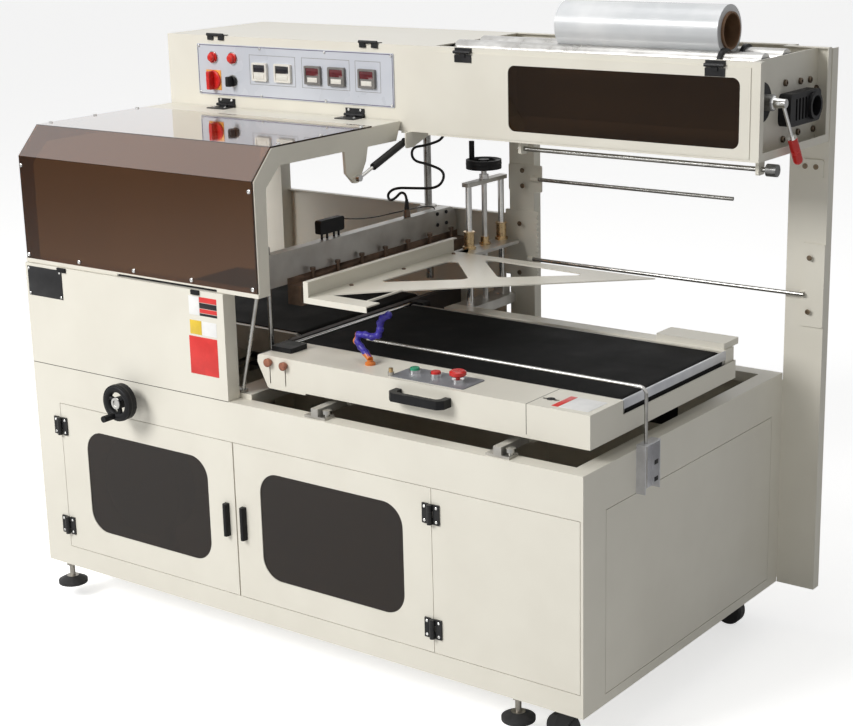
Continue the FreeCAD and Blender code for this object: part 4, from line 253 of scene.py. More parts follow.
def soft_lamp(name, place, aim, width, height, watts):
    """A square lamp with a soft edge, turned towards a point of the machine."""
    data = bpy.data.lights.new(name, "AREA")
    data.shape = "RECTANGLE"
    data.size = width
    data.size_y = height
    data.energy = watts
    data.color = (1.0, 0.993, 0.98)
    lamp = bpy.data.objects.new(name, data)
    bpy.context.scene.collection.objects.link(lamp)
    lamp.matrix_world = Matrix.Translation(place) @ (aim - place).to_track_quat("-Z", "Y").to_matrix().to_4x4()
    return lamp


soft_lamp("key_lamp", at(-900.0, -4200.0, 3900.0), at(850.0, 300.0, 700.0), 2.6, 2.0, 248.0)
soft_lamp("top_lamp", at(900.0, 500.0, 4300.0), at(900.0, 450.0, 700.0), 2.4, 1.6, 24.0)

# Floor: a plain pale studio floor without an edge, which keeps the machine's shadow. It is one wide flat sheet.
bpy.ops.mesh.primitive_plane_add(size=40.0, location=(0.0, 0.0, 0.0))
floor = bpy.context.object
floor.name = "studio_floor"
floor_finish = bpy.data.materials.new("pale_floor")
floor_finish.use_nodes = True
floor_nodes = floor_finish.node_tree.nodes
floor_links = floor_finish.node_tree.links
floor_shader = floor_nodes["Principled BSDF"]
floor_shader.inputs["Roughness"].default_value = 0.9
floor_shader.inputs["Specular IOR Level"].default_value = 0.1
floor_shader.inputs["Base Color"].default_value = (0.93, 0.93, 0.925, 1.0)
floor_glow = floor_nodes.new("ShaderNodeEmission")
floor_glow.inputs["Color"].default_value = (1.0, 1.0, 1.0, 1.0)
floor_ray = floor_nodes.new("ShaderNodeLightPath")
floor_seen = floor_nodes.new("ShaderNodeMath")
floor_seen.operation = "MULTIPLY"
floor_links.new(floor_ray.outputs["Is Camera Ray"], floor_seen.inputs[0])
floor_seen.inputs[1].default_value = 0.62
floor_links.new(floor_seen.outputs[0], floor_glow.inputs["Strength"])
floor_sum = floor_nodes.new("ShaderNodeAddShader")
floor_links.new(floor_shader.outputs[0], floor_sum.inputs[0])
floor_links.new(floor_glow.outputs[0], floor_sum.inputs[1])
floor_links.new(floor_sum.outputs[0], floor_nodes["Material Output"].inputs["Surface"])
floor.data.materials.append(floor_finish)
bpy.ops.object.select_all(action="DESELECT")

# Cabinet shell: welded sheet steel with turned-in rims, powder coated in a warm cream. The coat
# has a fine orange-peel skin and dulls slightly in large soft patches.
CREAM = (0.770, 0.742, 0.655, 1.0)
CREAM_SHADE = (0.738, 0.708, 0.622, 1.0)
cream_coat = coated("cream_powder_coat", CREAM, CREAM_SHADE, gloss=(0.30, 0.40))
dress(cream_coat, "cabinet_frame")

# Doors and panels: 2 mm sheet panels lie in the front's recess. The two doors hang on black butt
# hinges and carry smoked sheets behind rounded windows; the slotted steel bracket on the end is bare.
SMOKE = (0.085, 0.045, 0.020, 1.0)
SMOKE_SHADE = (0.060, 0.032, 0.016, 1.0)


def smoked(name, tint, shade, passing=0.92, shine=0.25):
    """Smoked acrylic sheet: light passes and comes out brown, with faint rub marks in the gloss."""
    finish = bpy.data.materials.new(name)
    finish.use_nodes = True
    nodes = finish.node_tree.nodes
    links = finish.node_tree.links
    shader = nodes["Principled BSDF"]
    shader.inputs["Transmission Weight"].default_value = passing
    shader.inputs["IOR"].default_value = 1.46
    shader.inputs["Specular IOR Level"].default_value = shine
    place = nodes.new("ShaderNodeTexCoord")
    drift = nodes.new("ShaderNodeTexNoise")
    drift.inputs["Scale"].default_value = 3.0
    links.new(place.outputs["Object"], drift.inputs["Vector"])
    tints = nodes.new("ShaderNodeValToRGB")
    tints.color_ramp.elements[0].color = shade
    tints.color_ramp.elements[1].color = tint
    links.new(drift.outputs["Fac"], tints.inputs["Fac"])
    links.new(tints.outputs["Color"], shader.inputs["Base Color"])
    rub = nodes.new("ShaderNodeTexNoise")
    rub.inputs["Scale"].default_value = 40.0
    rub.inputs["Detail"].default_value = 6.0
    links.new(place.outputs["Object"], rub.inputs["Vector"])
    dull = nodes.new("ShaderNodeMapRange")
    dull.inputs["From Min"].default_value = 0.45
    dull.inputs["From Max"].default_value = 0.75
    dull.inputs["To Min"].default_value = 0.015
    dull.inputs["To Max"].default_value = 0.09
    links.new(rub.outputs["Fac"], dull.inputs["Value"])
    links.new(dull.outputs["Result"], shader.inputs["Roughness"])
    return finish


def solids_of(node, body, sorting):
    """Copies a CAD node, merges its loose triangles and sorts its solids into named pieces by their place."""
    whole = bmesh.new()
    whole.from_mesh(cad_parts[node].data)
    bmesh.ops.remove_doubles(whole, verts=whole.verts, dist=0.000002)
    whole.verts.index_update()
    open_faces = set(whole.faces)
    groups = {name: [] for name in sorting}
    while open_faces:
        first = open_faces.pop()
        solid = [first]
        edge_of_search = [first]
        while edge_of_search:
            face = edge_of_search.pop()
            for vertex in face.verts:
                for near in vertex.link_faces:
                    if near in open_faces:
                        open_faces.discard(near)
                        solid.append(near)
                        edge_of_search.append(near)
        points = [v.co for f in solid for v in f.verts]
        middle = [
            (min(p[i] for p in points) + max(p[i] for p in points)) * 500.0 + offset
            for i, offset in enumerate((CORNER_X, CORNER_Y, 0.0))
        ]
        tall = (max(p.z for p in points) - min(p.z for p in points)) * 1000.0
        for name, belongs in sorting.items():
            if belongs(*middle, tall):
                groups[name].append(solid)
                break
    made = []
    for name, solids in groups.items():
        numbers = {}
        corners = []
        faces = []
        for face in (f for solid in solids for f in solid):
            loop = []
            for vertex in face.verts:
                if vertex.index not in numbers:
                    numbers[vertex.index] = len(corners)
                    corners.append(vertex.co.copy())
                loop.append(numbers[vertex.index])
            faces.append(loop)
        data = bpy.data.meshes.new(name)
        data.from_pydata(corners, [], faces)
        piece = bpy.data.objects.new(name, data)
        bpy.context.scene.collection.objects.link(piece)
        bpy.ops.object.select_all(action="DESELECT")
        piece.select_set(True)
        bpy.context.view_layer.objects.active = piece
        bpy.ops.object.shade_smooth_by_angle(angle=math.radians(28.0))
        piece.select_set(False)
        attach(piece, body)
        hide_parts(node)
        made.append(piece)
    whole.free()
    return made


def by_face(piece, finishes, chosen):
    """Gives a piece several finishes, one for each face by its middle in millimetres."""
    piece.data.materials.clear()
    for finish in finishes:
        piece.data.materials.append(finish)
    for face in piece.data.polygons:
        middle = face.center * 1000.0 + Vector((CORNER_X, CORNER_Y, 0.0))
        face.material_index = chosen(middle, face.normal)


def screw_head(radius, height):
    """The mesh of one pan head screw that stands on the origin, with a rounded top and a sunk socket."""
    bpy.ops.object.select_all(action="DESELECT")
    middle = (0.0, 0.0, height / 2000.0)
    bpy.ops.mesh.primitive_cylinder_add(vertices=14, radius=radius / 1000.0, depth=height / 1000.0, location=middle)
    head = bpy.context.object
    bpy.ops.object.transform_apply(location=True, rotation=True, scale=True)
    bpy.ops.object.mode_set(mode="EDIT")
    bpy.ops.mesh.select_mode(type="FACE")
    bpy.ops.mesh.select_all(action="DESELECT")
    shape = bmesh.from_edit_mesh(head.data)
    for face in shape.faces:
        face.select_set(face.normal.z > 0.9)
    bmesh.update_edit_mesh(head.data)
    bpy.ops.mesh.inset(thickness=radius * 0.00022)
    bpy.ops.transform.translate(value=(0.0, 0.0, height * 0.00025))
    bpy.ops.mesh.inset(thickness=radius * 0.00030)
    bpy.ops.mesh.extrude_region_move(TRANSFORM_OT_translate={"value": (0.0, 0.0, height * -0.0005)})
    bpy.ops.object.mode_set(mode="OBJECT")
    data = head.data
    bpy.data.objects.remove(head)
    return data


def fasten(name, head, places, toward, finish, body):
    """Puts a copy of one screw at each place in millimetres, its head facing outwards, as one piece."""
    facing = Vector(toward).to_track_quat("Z", "Y").to_matrix().to_4x4()
    copies = []
    for place in places:
        data = head.copy()
        data.transform(Matrix.Translation(at(*place)) @ facing)
        copy = bpy.data.objects.new(name, data)
        bpy.context.scene.collection.objects.link(copy)
        copies.append(copy)
    bpy.ops.object.select_all(action="DESELECT")
    for copy in copies:
        copy.select_set(True)
    bpy.context.view_layer.objects.active = copies[0]
    if len(copies) > 1:
        bpy.ops.object.join()
    return settle(copies[0], name, finish, body)


def block(name, low, high, soften, finish, body):
    """A block with rounded edges between two corners in millimetres."""
    first = at(*low)
    last = at(*high)
    bpy.ops.object.select_all(action="DESELECT")
    bpy.ops.mesh.primitive_cube_add(size=1.0, location=(first + last) / 2.0, scale=last - first)
    bpy.ops.object.transform_apply(location=True, rotation=True, scale=True)
    bpy.ops.object.mode_set(mode="EDIT")
    bpy.ops.mesh.select_all(action="SELECT")
    bpy.ops.mesh.bevel(offset=soften / 1000.0, segments=2, affect="EDGES")
    bpy.ops.object.mode_set(mode="OBJECT")
    return settle(bpy.context.object, name, finish, body)


small_screw = screw_head(3.4, 2.0)
pane_screw = screw_head(5.0, 2.6)
smoke_sheet = smoked("smoked_door_sheet", SMOKE, SMOKE_SHADE)
black_enamel = coated("black_enamel", (0.022, 0.022, 0.023, 1.0), (0.014, 0.014, 0.015, 1.0), gloss=(0.28, 0.45), patch=30.0, shine=0.25)
black_mould = coated("black_moulded_plastic", (0.012, 0.012, 0.013, 1.0), (0.007, 0.007, 0.008, 1.0), gloss=(0.38, 0.55), patch=25.0, grain=1400.0, relief=0.0001, shine=0.2)
bare_steel = coated("bare_steel", (0.60, 0.595, 0.58, 1.0), (0.46, 0.45, 0.43, 1.0), gloss=(0.24, 0.42), patch=18.0, grain=500.0, metallic=1.0)
dress(cream_coat, "left_door", "right_door")
panels, end_bracket = solids_of(
    "cabinet_panels",
    "base",
    {"cabinet_panel_sheets": lambda x, y, z, tall: x < 1650.0, "product_guide_bracket": lambda x, y, z, tall: True},
)
dress(cream_coat, panels)
for side, x0, x1 in (("left", 332.0, 569.0), ("right", 1130.0, 1367.0)):
    block("vent_felt_" + side, (x0, 902.2, 462.0), (x1, 903.8, 558.0), 0.4, black_mould, "base")
bracket_zinc = coated("zinc_plate", (0.66, 0.66, 0.68, 1.0), (0.54, 0.54, 0.56, 1.0), gloss=(0.32, 0.5), patch=25.0, metallic=0.6)
dress(bracket_zinc, end_bracket)
for side in ("left", "right"):
    sheet, leaves, pull = solids_of(
        side + "_door_fittings",
        side + "_door_body",
        {
            side + "_door_sheet": lambda x, y, z, tall: y > 1.0,
            side + "_door_hinge_leaves": lambda x, y, z, tall: z < 300.0 or z > 450.0,
            side + "_door_pull": lambda x, y, z, tall: True,
        },
    )
    dress(smoke_sheet, sheet)
    dress(black_enamel, leaves)
    dress(black_mould, pull)
dress(black_enamel, "hinge_bases")
hinge_rows = (205.0, 237.0, 474.0, 506.0)
screw_zinc = coated("screw_zinc", (0.74, 0.74, 0.73, 1.0), (0.60, 0.60, 0.59, 1.0), gloss=(0.2, 0.35), patch=90.0, metallic=1.0)
fasten("left_hinge_base_screws", small_screw, [(72.0, -3.0, z) for z in hinge_rows], (0, -1, 0), screw_zinc, "base")
fasten("right_hinge_base_screws", small_screw, [(1279.0, -3.0, z) for z in hinge_rows], (0, -1, 0), screw_zinc, "base")
fasten("left_hinge_door_screws", small_screw, [(104.0, -3.0, z) for z in hinge_rows], (0, -1, 0), screw_zinc, "left_door_body")
fasten("right_hinge_door_screws", small_screw, [(1247.0, -3.0, z) for z in hinge_rows], (0, -1, 0), screw_zinc, "right_door_body")

# Floor fittings: black castors with rubber wheels under the corners, and two levelling feet,
# each a dark pad with a zinc stud and nut that screws into the cabinet's base.
wheel_rubber = coated("castor_rubber", (0.035, 0.035, 0.036, 1.0), (0.022, 0.022, 0.023, 1.0), gloss=(0.45, 0.65), patch=40.0, relief=0.0002, shine=0.3)
pads_and_studs = solids_of(
    "floor_fittings",
    "base",
    {
        "castor_plates": lambda x, y, z, tall: z > 95.0,
        "levelling_feet": lambda x, y, z, tall: True,
    },
)
dress(black_enamel, pads_and_studs[0])
foot_zinc = coated("foot_zinc_and_rubber", (0.42, 0.40, 0.36, 1.0), (0.30, 0.28, 0.25, 1.0), gloss=(0.3, 0.5), patch=40.0, metallic=0.9)
by_face(pads_and_studs[1], (foot_zinc, wheel_rubber), lambda p, n: 1 if p.z < 56.0 else 0)
for corner in ("front_right", "back_right", "front_left", "back_left"):
    dress(black_enamel, "castor_" + corner + "_fork")
    dress(wheel_rubber, "castor_" + corner + "_wheel")

# Inside the cabinet: the scrap reel on its stand and the belt drive, in dark machine enamel, with
# the cream cross members above. They show dimly through the door sheets and the open top.
machine_enamel = coated("machine_enamel", (0.075, 0.080, 0.078, 1.0), (0.050, 0.054, 0.052, 1.0), gloss=(0.35, 0.5), patch=20.0, relief=0.0003, shine=0.3)
reel_black = coated("reel_black", (0.035, 0.034, 0.033, 1.0), (0.020, 0.020, 0.020, 1.0), gloss=(0.3, 0.45), patch=20.0)
dull_steel = coated("dull_steel", (0.50, 0.485, 0.45, 1.0), (0.36, 0.345, 0.32, 1.0), gloss=(0.34, 0.52), patch=14.0, metallic=0.9)
dress(machine_enamel, "drive_units")
dress(reel_black, "scrap_reel")
beams, table_rails = solids_of(
    "cross_members",
    "base",
    {
        "cross_beams": lambda x, y, z, tall: x < 800.0,
        "table_rails": lambda x, y, z, tall: True,
    },
)
dress(cream_coat, beams)
dress(dull_steel, table_rails)

# Front cover of the seal station: a folded sheet box in the cabinet's cream, screwed on from
# behind, with the exit side wall beside it. The handwheel that lifts the exit belt comes out below.
dress(cream_coat, "front_cover")


def collar(name, place, toward, outer, bore, depth, finish, body):
    """A ring that stands on a point in millimetres and rises towards a direction, with softened rims."""
    up = Vector(toward).normalized()
    middle = at(*place) + up * depth / 2000.0
    bpy.ops.object.select_all(action="DESELECT")
    turn = up.to_track_quat("Z", "Y").to_euler()
    bpy.ops.mesh.primitive_cylinder_add(
        vertices=32, radius=outer / 1000.0, depth=depth / 1000.0, location=middle, rotation=turn
    )
    hoop = bpy.context.object
    bpy.ops.object.transform_apply(location=True, rotation=True, scale=True)
    bpy.ops.object.mode_set(mode="EDIT")
    bpy.ops.mesh.select_mode(type="FACE")
    bpy.ops.mesh.select_all(action="DESELECT")
    shape = bmesh.from_edit_mesh(hoop.data)
    for face in shape.faces:
        face.select_set(abs(face.normal.dot(up)) > 0.9)
    bmesh.update_edit_mesh(hoop.data)
    soft = min(depth, outer - bore) * 0.00015
    bpy.ops.mesh.inset(thickness=soft, use_individual=True)
    bpy.ops.mesh.inset(thickness=(outer - bore) / 1000.0 - soft, use_individual=True)
    bpy.ops.mesh.bridge_edge_loops()
    bpy.ops.mesh.select_all(action="SELECT")
    bpy.ops.mesh.normals_make_consistent(inside=False)
    bpy.ops.object.mode_set(mode="OBJECT")
    return settle(hoop, name, finish, body)


def spun(piece, place, axis, degrees):
    """Turns a wheel's copy about its own axle, so that its peg stands where it is seen."""
    middle = at(*place)
    swing = Matrix.Rotation(math.radians(degrees), 4, axis)
    piece.data.transform(Matrix.Translation(middle) @ swing @ Matrix.Translation(-middle))


plate_black = coated("plate_black", (0.010, 0.010, 0.011, 1.0), (0.016, 0.016, 0.017, 1.0), gloss=(0.3, 0.42), patch=30.0, shine=0.35)
block("bare_plate", (8.0, -1.0, 824.0), (133.0, 0.0, 899.0), 0.4, plate_black, "base")
fasten("bare_plate_rivets", small_screw, [(x, -1.0, z) for x in (14.0, 127.0) for z in (830.0, 893.0)], (0, -1, 0), screw_zinc, "base")
SIGN_DEPTH = 0.5
sign_white = coated("sign_white", (0.86, 0.86, 0.85, 1.0), (0.80, 0.80, 0.79, 1.0), gloss=(0.3, 0.4), patch=30.0)
sign_red = coated("sign_red", (0.72, 0.035, 0.030, 1.0), (0.64, 0.028, 0.024, 1.0), gloss=(0.3, 0.4), patch=30.0)
sign_yellow = coated("sign_yellow", (0.80, 0.56, 0.05, 1.0), (0.72, 0.50, 0.04, 1.0), gloss=(0.3, 0.4), patch=30.0)
for name, finish, slot, x0, x1, z0, z1 in (
    ("upper_block_pale", sign_white, "label_grey", 567.0, 600.0, 846.0, 891.0),
    ("upper_block_red", sign_red, "red_plastic", 601.0, 656.0, 878.0, 891.0),
    ("upper_block_dark", plate_black, "black_plastic", 601.0, 656.0, 864.0, 877.0),
    ("upper_block_red_low", sign_red, "red_plastic", 601.0, 656.0, 853.0, 863.0),
    ("upper_block_dark_low", plate_black, "black_plastic", 601.0, 656.0, 846.0, 852.0),
    ("middle_block_yellow", sign_yellow, "label_grey", 567.0, 604.0, 799.0, 833.0),
    ("middle_block_pale", sign_white, "label_grey", 606.0, 652.0, 799.0, 833.0),
    ("lower_block_red", sign_red, "red_plastic", 562.0, 652.0, 702.0, 794.0),
):
    block(name, (x0, -SIGN_DEPTH, z0), (x1, 0.0, z1), 0.2, finish, "base")
block("hood_rest", (120.0, -5.0, 895.0), (150.0, 0.5, 906.5), 1.2, black_mould, "base")
block("hood_rest_right", (578.0, -5.0, 895.0), (604.0, 0.5, 906.5), 1.2, black_mould, "base")
block("hood_finger_strip", (326.0, 9.5, 907.5), (654.0, 12.0, 914.0), 0.3, black_mould, "hood_body")
# A thin dark strip along the front cover's lower edge is a painted shadow line, where the cover stands slightly proud
# of the cabinet. The same dark finish also marks the table's joints.
joint_and_shadow_dark = coated("joint_and_shadow_dark", (0.050, 0.045, 0.038, 1.0), (0.035, 0.032, 0.028, 1.0), gloss=(0.6, 0.7), patch=30.0, shine=0.1)
block("cover_painted_shadow_line", (0.5, -0.2, 647.2), (677.0, 0.4, 648.8), 0.1, joint_and_shadow_dark, "base")
(front_wheel,) = solids_of("front_handwheel", "front_handwheel_body", {"front_handwheel_and_shaft": lambda x, y, z, tall: True})
by_face(
    front_wheel,
    (black_mould, bare_steel),
    lambda p, n: 1 if math.hypot(p.x - 360.0, p.z - 608.0) < 8.3 else 0,
)
spun(front_wheel, (360.0, -50.0, 608.0), "Y", -70.0)
collar("front_handwheel_drum", (360.0, -60.0, 608.0), (0, 1, 0), 45.0, 40.0, 26.0, black_mould, "front_handwheel_body")
collar("front_handwheel_hub_ring", (360.0, -60.0, 608.0), (0, -1, 0), 14.0, 8.5, 2.5, bare_steel, "front_handwheel_body")

# Hood: two cream side plates carry one smoked sheet, bent over the front edge and held by screws.
# It tilts up on two black hinges and a gas strut holds it open.
hood_plates, hood_leaves = solids_of(
    "hood_frame",
    "hood_body",
    {
        "hood_side_plates": lambda x, y, z, tall: z < 1200.0,
        "hood_hinge_leaves": lambda x, y, z, tall: True,
    },
)
dress(cream_coat, hood_plates)
dress(black_enamel, hood_leaves)
hood_sheet = smoked("smoked_hood_sheet", (0.205, 0.086, 0.027, 1.0), (0.155, 0.064, 0.021, 1.0), shine=0.2)
# The faces that face upwards (top and slope) get a lighter copy of the smoke tint with a strong coat. This is a painted
# reflection that brightens the top of the sheet.
hood_top_painted_sheen = smoked("smoked_hood_top_painted_reflection", (0.34, 0.145, 0.060, 1.0), (0.27, 0.112, 0.050, 1.0), shine=1.0)
hood_top_painted_sheen.node_tree.nodes["Principled BSDF"].inputs["Coat Weight"].default_value = 1.0
hood_top_painted_sheen.node_tree.nodes["Principled BSDF"].inputs["Coat IOR"].default_value = 1.9
hood_top_painted_sheen.node_tree.nodes["Principled BSDF"].inputs["Coat Roughness"].default_value = 0.05
(bent_sheet,) = solids_of("hood_glazing", "hood_body", {"hood_bent_sheet": lambda x, y, z, tall: True})
by_face(bent_sheet, (hood_sheet, hood_top_painted_sheen), lambda p, n: 1 if abs(n.z) > 0.4 else 0)
front_row = [(x, 5.8, 927.0) for x in (12.0, 195.0, 385.0, 576.0, 768.0)]
fasten("hood_pane_screws", pane_screw, front_row + [(10.0, 5.2, 1152.0), (771.0, 5.2, 1152.0)], (0, -1, 0), screw_zinc, "hood_body")
top_row = [(x, y, 1245.0) for x in (12.0, 771.0) for y in (110.0, 260.0, 410.0)]
fasten("hood_top_screws", pane_screw, top_row, (0, 0, 1), screw_zinc, "hood_body")
fasten("hood_hinge_screws", small_screw, [(x, 548.0, 1262.0) for x in (186.0, 224.0, 621.0, 659.0)], (0, -1, 0), screw_zinc, "base")
fasten("hood_leaf_screws", small_screw, [(x, 521.0, 1246.0) for x in (186.0, 224.0, 621.0, 659.0)], (0, 0, 1), screw_zinc, "hood_body")
polished = coated("polished_chrome", (0.80, 0.80, 0.79, 1.0), (0.70, 0.70, 0.69, 1.0), gloss=(0.07, 0.16), patch=30.0, metallic=1.0)
dress(polished, "strut_rod")
rod_chrome = coated("rod_chrome", (0.44, 0.435, 0.42, 1.0), (0.32, 0.315, 0.30, 1.0), gloss=(0.18, 0.30), patch=30.0, metallic=1.0)
dress(rod_chrome, "guide_rods")
dress(black_enamel, "strut_cylinder")

# Exit belt: a short belt conveyor with steel sides on the lift screw. The belt is black woven
# fabric with a rubber face, its weave just seen, and dusty from the film.
BELT_TINT = (0.006, 0.006, 0.006, 1.0)
BELT_SHADE = (0.003, 0.003, 0.003, 1.0)
belt_weave = coated("belt_weave", BELT_TINT, BELT_SHADE, gloss=(0.62, 0.78), patch=9.0, grain=1600.0, relief=0.00025, wear=(22.0, 0.62, 0.25, (0.022, 0.021, 0.020, 1.0)), shine=0.08)
weave_nodes = belt_weave.node_tree.nodes
weave_links = belt_weave.node_tree.links
weave_place = next(n for n in weave_nodes if n.type == "TEX_COORD")
weave_bump = next(n for n in weave_nodes if n.type == "BUMP")
warp = weave_nodes.new("ShaderNodeTexWave")
warp.bands_direction = "X"
warp.inputs["Scale"].default_value = 160.0
weft = weave_nodes.new("ShaderNodeTexWave")
weft.bands_direction = "Y"
weft.inputs["Scale"].default_value = 160.0
crossing = weave_nodes.new("ShaderNodeMath")
crossing.operation = "MULTIPLY"
weave_links.new(weave_place.outputs["Object"], warp.inputs["Vector"])
weave_links.new(weave_place.outputs["Object"], weft.inputs["Vector"])
weave_links.new(warp.outputs["Fac"], crossing.inputs[0])
weave_links.new(weft.outputs["Fac"], crossing.inputs[1])
weave_links.new(crossing.outputs[0], weave_bump.inputs["Height"])
dress(belt_weave, "exit_belt", "infeed_belt")
dress(dull_steel, "exit_frame", "lift_screw")
dress(bare_steel, "exit_roller_left", "exit_roller_right", "infeed_nose_roller")

# Seal jaw: a ground aluminium beam rides on the rear post, with a sensor and a cable gland on top.
# The heater cover below is steel browned by heat; springs press it onto the rubber-topped lower jaw.
ground_alloy = coated("ground_aluminium", (0.57, 0.56, 0.53, 1.0), (0.47, 0.455, 0.43, 1.0), gloss=(0.32, 0.46), patch=11.0, metallic=0.75)
heat_brown = coated("heat_browned_steel", (0.20, 0.135, 0.095, 1.0), (0.115, 0.082, 0.060, 1.0), gloss=(0.36, 0.55), patch=26.0, metallic=0.55)
jaw_rubber = coated("jaw_rubber", (0.055, 0.045, 0.040, 1.0), (0.035, 0.030, 0.028, 1.0), gloss=(0.5, 0.65), patch=20.0)
beam, sensor, gland = solids_of(
    "jaw_beam",
    "jaw_body",
    {
        "jaw_beam_bar": lambda x, y, z, tall: z < 960.0,
        "jaw_sensor": lambda x, y, z, tall: y < 500.0,
        "jaw_gland": lambda x, y, z, tall: True,
    },
)
dress(ground_alloy, beam)
dress(black_mould, sensor)
dress(heat_brown, gland)
beam_bolts = [(700.0, y, z) for y in (801.0, 840.0) for z in (933.0, 962.0)]
fasten("jaw_beam_bolts", pane_screw, beam_bolts, (1, 0, 0), black_enamel, "jaw_body")
WIRE_RADIUS = 1.5
WIRE_ROUTE = (
    (683, 427, 1012), (683, 470, 1003), (681, 525, 995), (678, 581, 990), (674, 640, 988),
    (673.5, 700, 986), (674, 750, 985), (680, 790, 983), (685, 808, 978), (685, 812, 970),
)
wire_line = bpy.data.curves.new("sensor_wire_line", "CURVE")
wire_line.dimensions = "3D"
wire_line.resolution_u = 8
wire_run = wire_line.splines.new("NURBS")
wire_run.points.add(len(WIRE_ROUTE) - 1)
for turning, spot in zip(wire_run.points, WIRE_ROUTE):
    turning.co = (*at(*spot), 1.0)
wire_run.order_u = 3
wire_run.use_endpoint_u = True
wire_guide = bpy.data.objects.new("sensor_wire_guide", wire_line)
bpy.context.scene.collection.objects.link(wire_guide)
bpy.context.view_layer.update()
wire_path = [v.co.copy() for v in bpy.data.meshes.new_from_object(wire_guide).vertices]
wire_line.bevel_depth = WIRE_RADIUS / 1000.0
wire_line.bevel_resolution = 3
wire_line.use_fill_caps = True
bpy.context.view_layer.update()
wire = bpy.data.objects.new("sensor_wire", bpy.data.meshes.new_from_object(wire_guide))
bpy.context.scene.collection.objects.link(wire)
bpy.data.objects.remove(wire_guide)
for face in wire.data.polygons:
    face.use_smooth = True
dress(cable_black, wire)
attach(wire, "jaw_body")
heater, spring_posts, blade = solids_of(
    "sealing_head",
    "jaw_body",
    {
        "heater_cover": lambda x, y, z, tall: abs(x - 721.0) < 3.0 and z > 870.0,
        "spring_posts": lambda x, y, z, tall: x < 715.0,
        "hot_blade": lambda x, y, z, tall: True,
    },
)
dress(heat_brown, heater)
dress(heat_brown, spring_posts)
dress(bare_steel, blade)
dress(jaw_rubber, "lower_jaw")

# Infeed table: a cream sheet tray under folded covers, a black belt on two rollers, a bright nose bar
# at the jaw, and a grey console plate with three buttons in chrome bezels.
roller_zinc = coated("roller_zinc", (0.64, 0.65, 0.68, 1.0), (0.55, 0.56, 0.60, 1.0), gloss=(0.3, 0.42), patch=14.0, metallic=0.55)
dress(roller_zinc, "infeed_drive_roller")
tray, bed = solids_of(
    "infeed_tray",
    "infeed_table",
    {
        "infeed_tray_sheet": lambda x, y, z, tall: z < 705.0,
        "infeed_belt_bed": lambda x, y, z, tall: True,
    },
)
dress(cream_coat, tray)
dress(dull_steel, bed)
covers, head_blocks = solids_of(
    "infeed_covers",
    "infeed_table",
    {
        "infeed_cover_sheets": lambda x, y, z, tall: z < 765.0 and not (x < 895.0 and y > 700.0),
        "film_head_blocks": lambda x, y, z, tall: True,
    },
)
dress(cream_coat, covers)
dress(dull_steel, head_blocks)
console, bright = solids_of(
    "infeed_metal",
    "infeed_table",
    {
        "console_plate": lambda x, y, z, tall: 1190.0 < x < 1210.0 and z < 759.0,
        "infeed_bright_parts": lambda x, y, z, tall: True,
    },
)
console_grey = coated("console_grey", (0.19, 0.195, 0.215, 1.0), (0.17, 0.175, 0.195, 1.0), gloss=(0.28, 0.38), patch=18.0)
dress(console_grey, console)
dress(polished, bright)
button_green = coated("button_green", (0.02, 0.30, 0.16, 1.0), (0.015, 0.25, 0.13, 1.0), gloss=(0.2, 0.3), patch=40.0)
button_red = coated("button_red", (0.66, 0.022, 0.018, 1.0), (0.56, 0.015, 0.012, 1.0), gloss=(0.2, 0.32), patch=40.0)
dress(button_green, "start_button")
dress(button_red, "stop_button", "emergency_stop")
hose_parts, knobs, black_parts = solids_of(
    "table_fittings",
    "infeed_table",
    {
        "air_hose_links": lambda x, y, z, tall: 900.0 < x < 1050.0,
        "end_cap_knobs": lambda x, y, z, tall: y < 62.0 and x < 850.0,
        "table_black_parts": lambda x, y, z, tall: True,
    },
)
hose_blue = coated("hose_blue", (0.030, 0.018, 0.32, 1.0), (0.022, 0.012, 0.24, 1.0), gloss=(0.28, 0.4), patch=60.0)
brass_knob = coated("brass_knob", (0.58, 0.42, 0.22, 1.0), (0.46, 0.32, 0.16, 1.0), gloss=(0.2, 0.34), patch=90.0, metallic=1.0)
knob_copper = coated("knob_copper", (0.38, 0.16, 0.10, 1.0), (0.25, 0.10, 0.07, 1.0), gloss=(0.25, 0.4), patch=90.0, metallic=0.7)
hose_orange = coated("hose_orange", (0.70, 0.20, 0.03, 1.0), (0.60, 0.16, 0.02, 1.0), gloss=(0.3, 0.4), patch=60.0)
by_face(hose_parts, (hose_blue, hose_orange), lambda p, n: 1 if p.z < 779.0 or p.x < 948.0 else 0)
dress(knob_copper, knobs)
dress(black_mould, black_parts)
block("belt_end_bar", (1622.5, 197.0, 736.0), (1627.8, 652.0, 757.0), 1.0, roller_zinc, "infeed_table")
block("table_side_seam", (1470.4, 61.7, 690.0), (1471.8, 62.3, 756.8), 0.1, joint_and_shadow_dark, "infeed_table")
block("table_top_seam", (1470.4, 62.5, 756.7), (1471.8, 192.5, 757.2), 0.1, joint_and_shadow_dark, "infeed_table")
block("table_block_pale", (1540.0, 80.0, 756.9), (1612.0, 158.0, 757.5), 0.2, sign_white, "infeed_table")
block("table_block_red", (1522.0, 80.0, 756.9), (1538.0, 158.0, 757.5), 0.2, sign_red, "infeed_table")
collar("table_plug", (1496.0, 119.0, 757.0), (0, 0, 1), 9.0, 2.0, 1.2, black_mould, "infeed_table")
collar("needle_valve_body", (1100.0, 80.0, 757.0), (0, 0, 1), 7.0, 3.0, 9.0, dull_steel, "infeed_table")
collar("needle_valve_knob", (1100.0, 80.0, 766.0), (0, 0, 1), 5.0, 1.5, 9.0, brass_knob, "infeed_table")
slot_faces = ((1671.7, 250.0, 606.0), (1672.3, 266.0, 616.0)), ((1671.7, 250.0, 568.0), (1672.3, 266.0, 578.0))
for number, (low, high) in enumerate(slot_faces, 1):
    block(f"bracket_slot_{number}", low, high, 0.2, black_mould, "base")

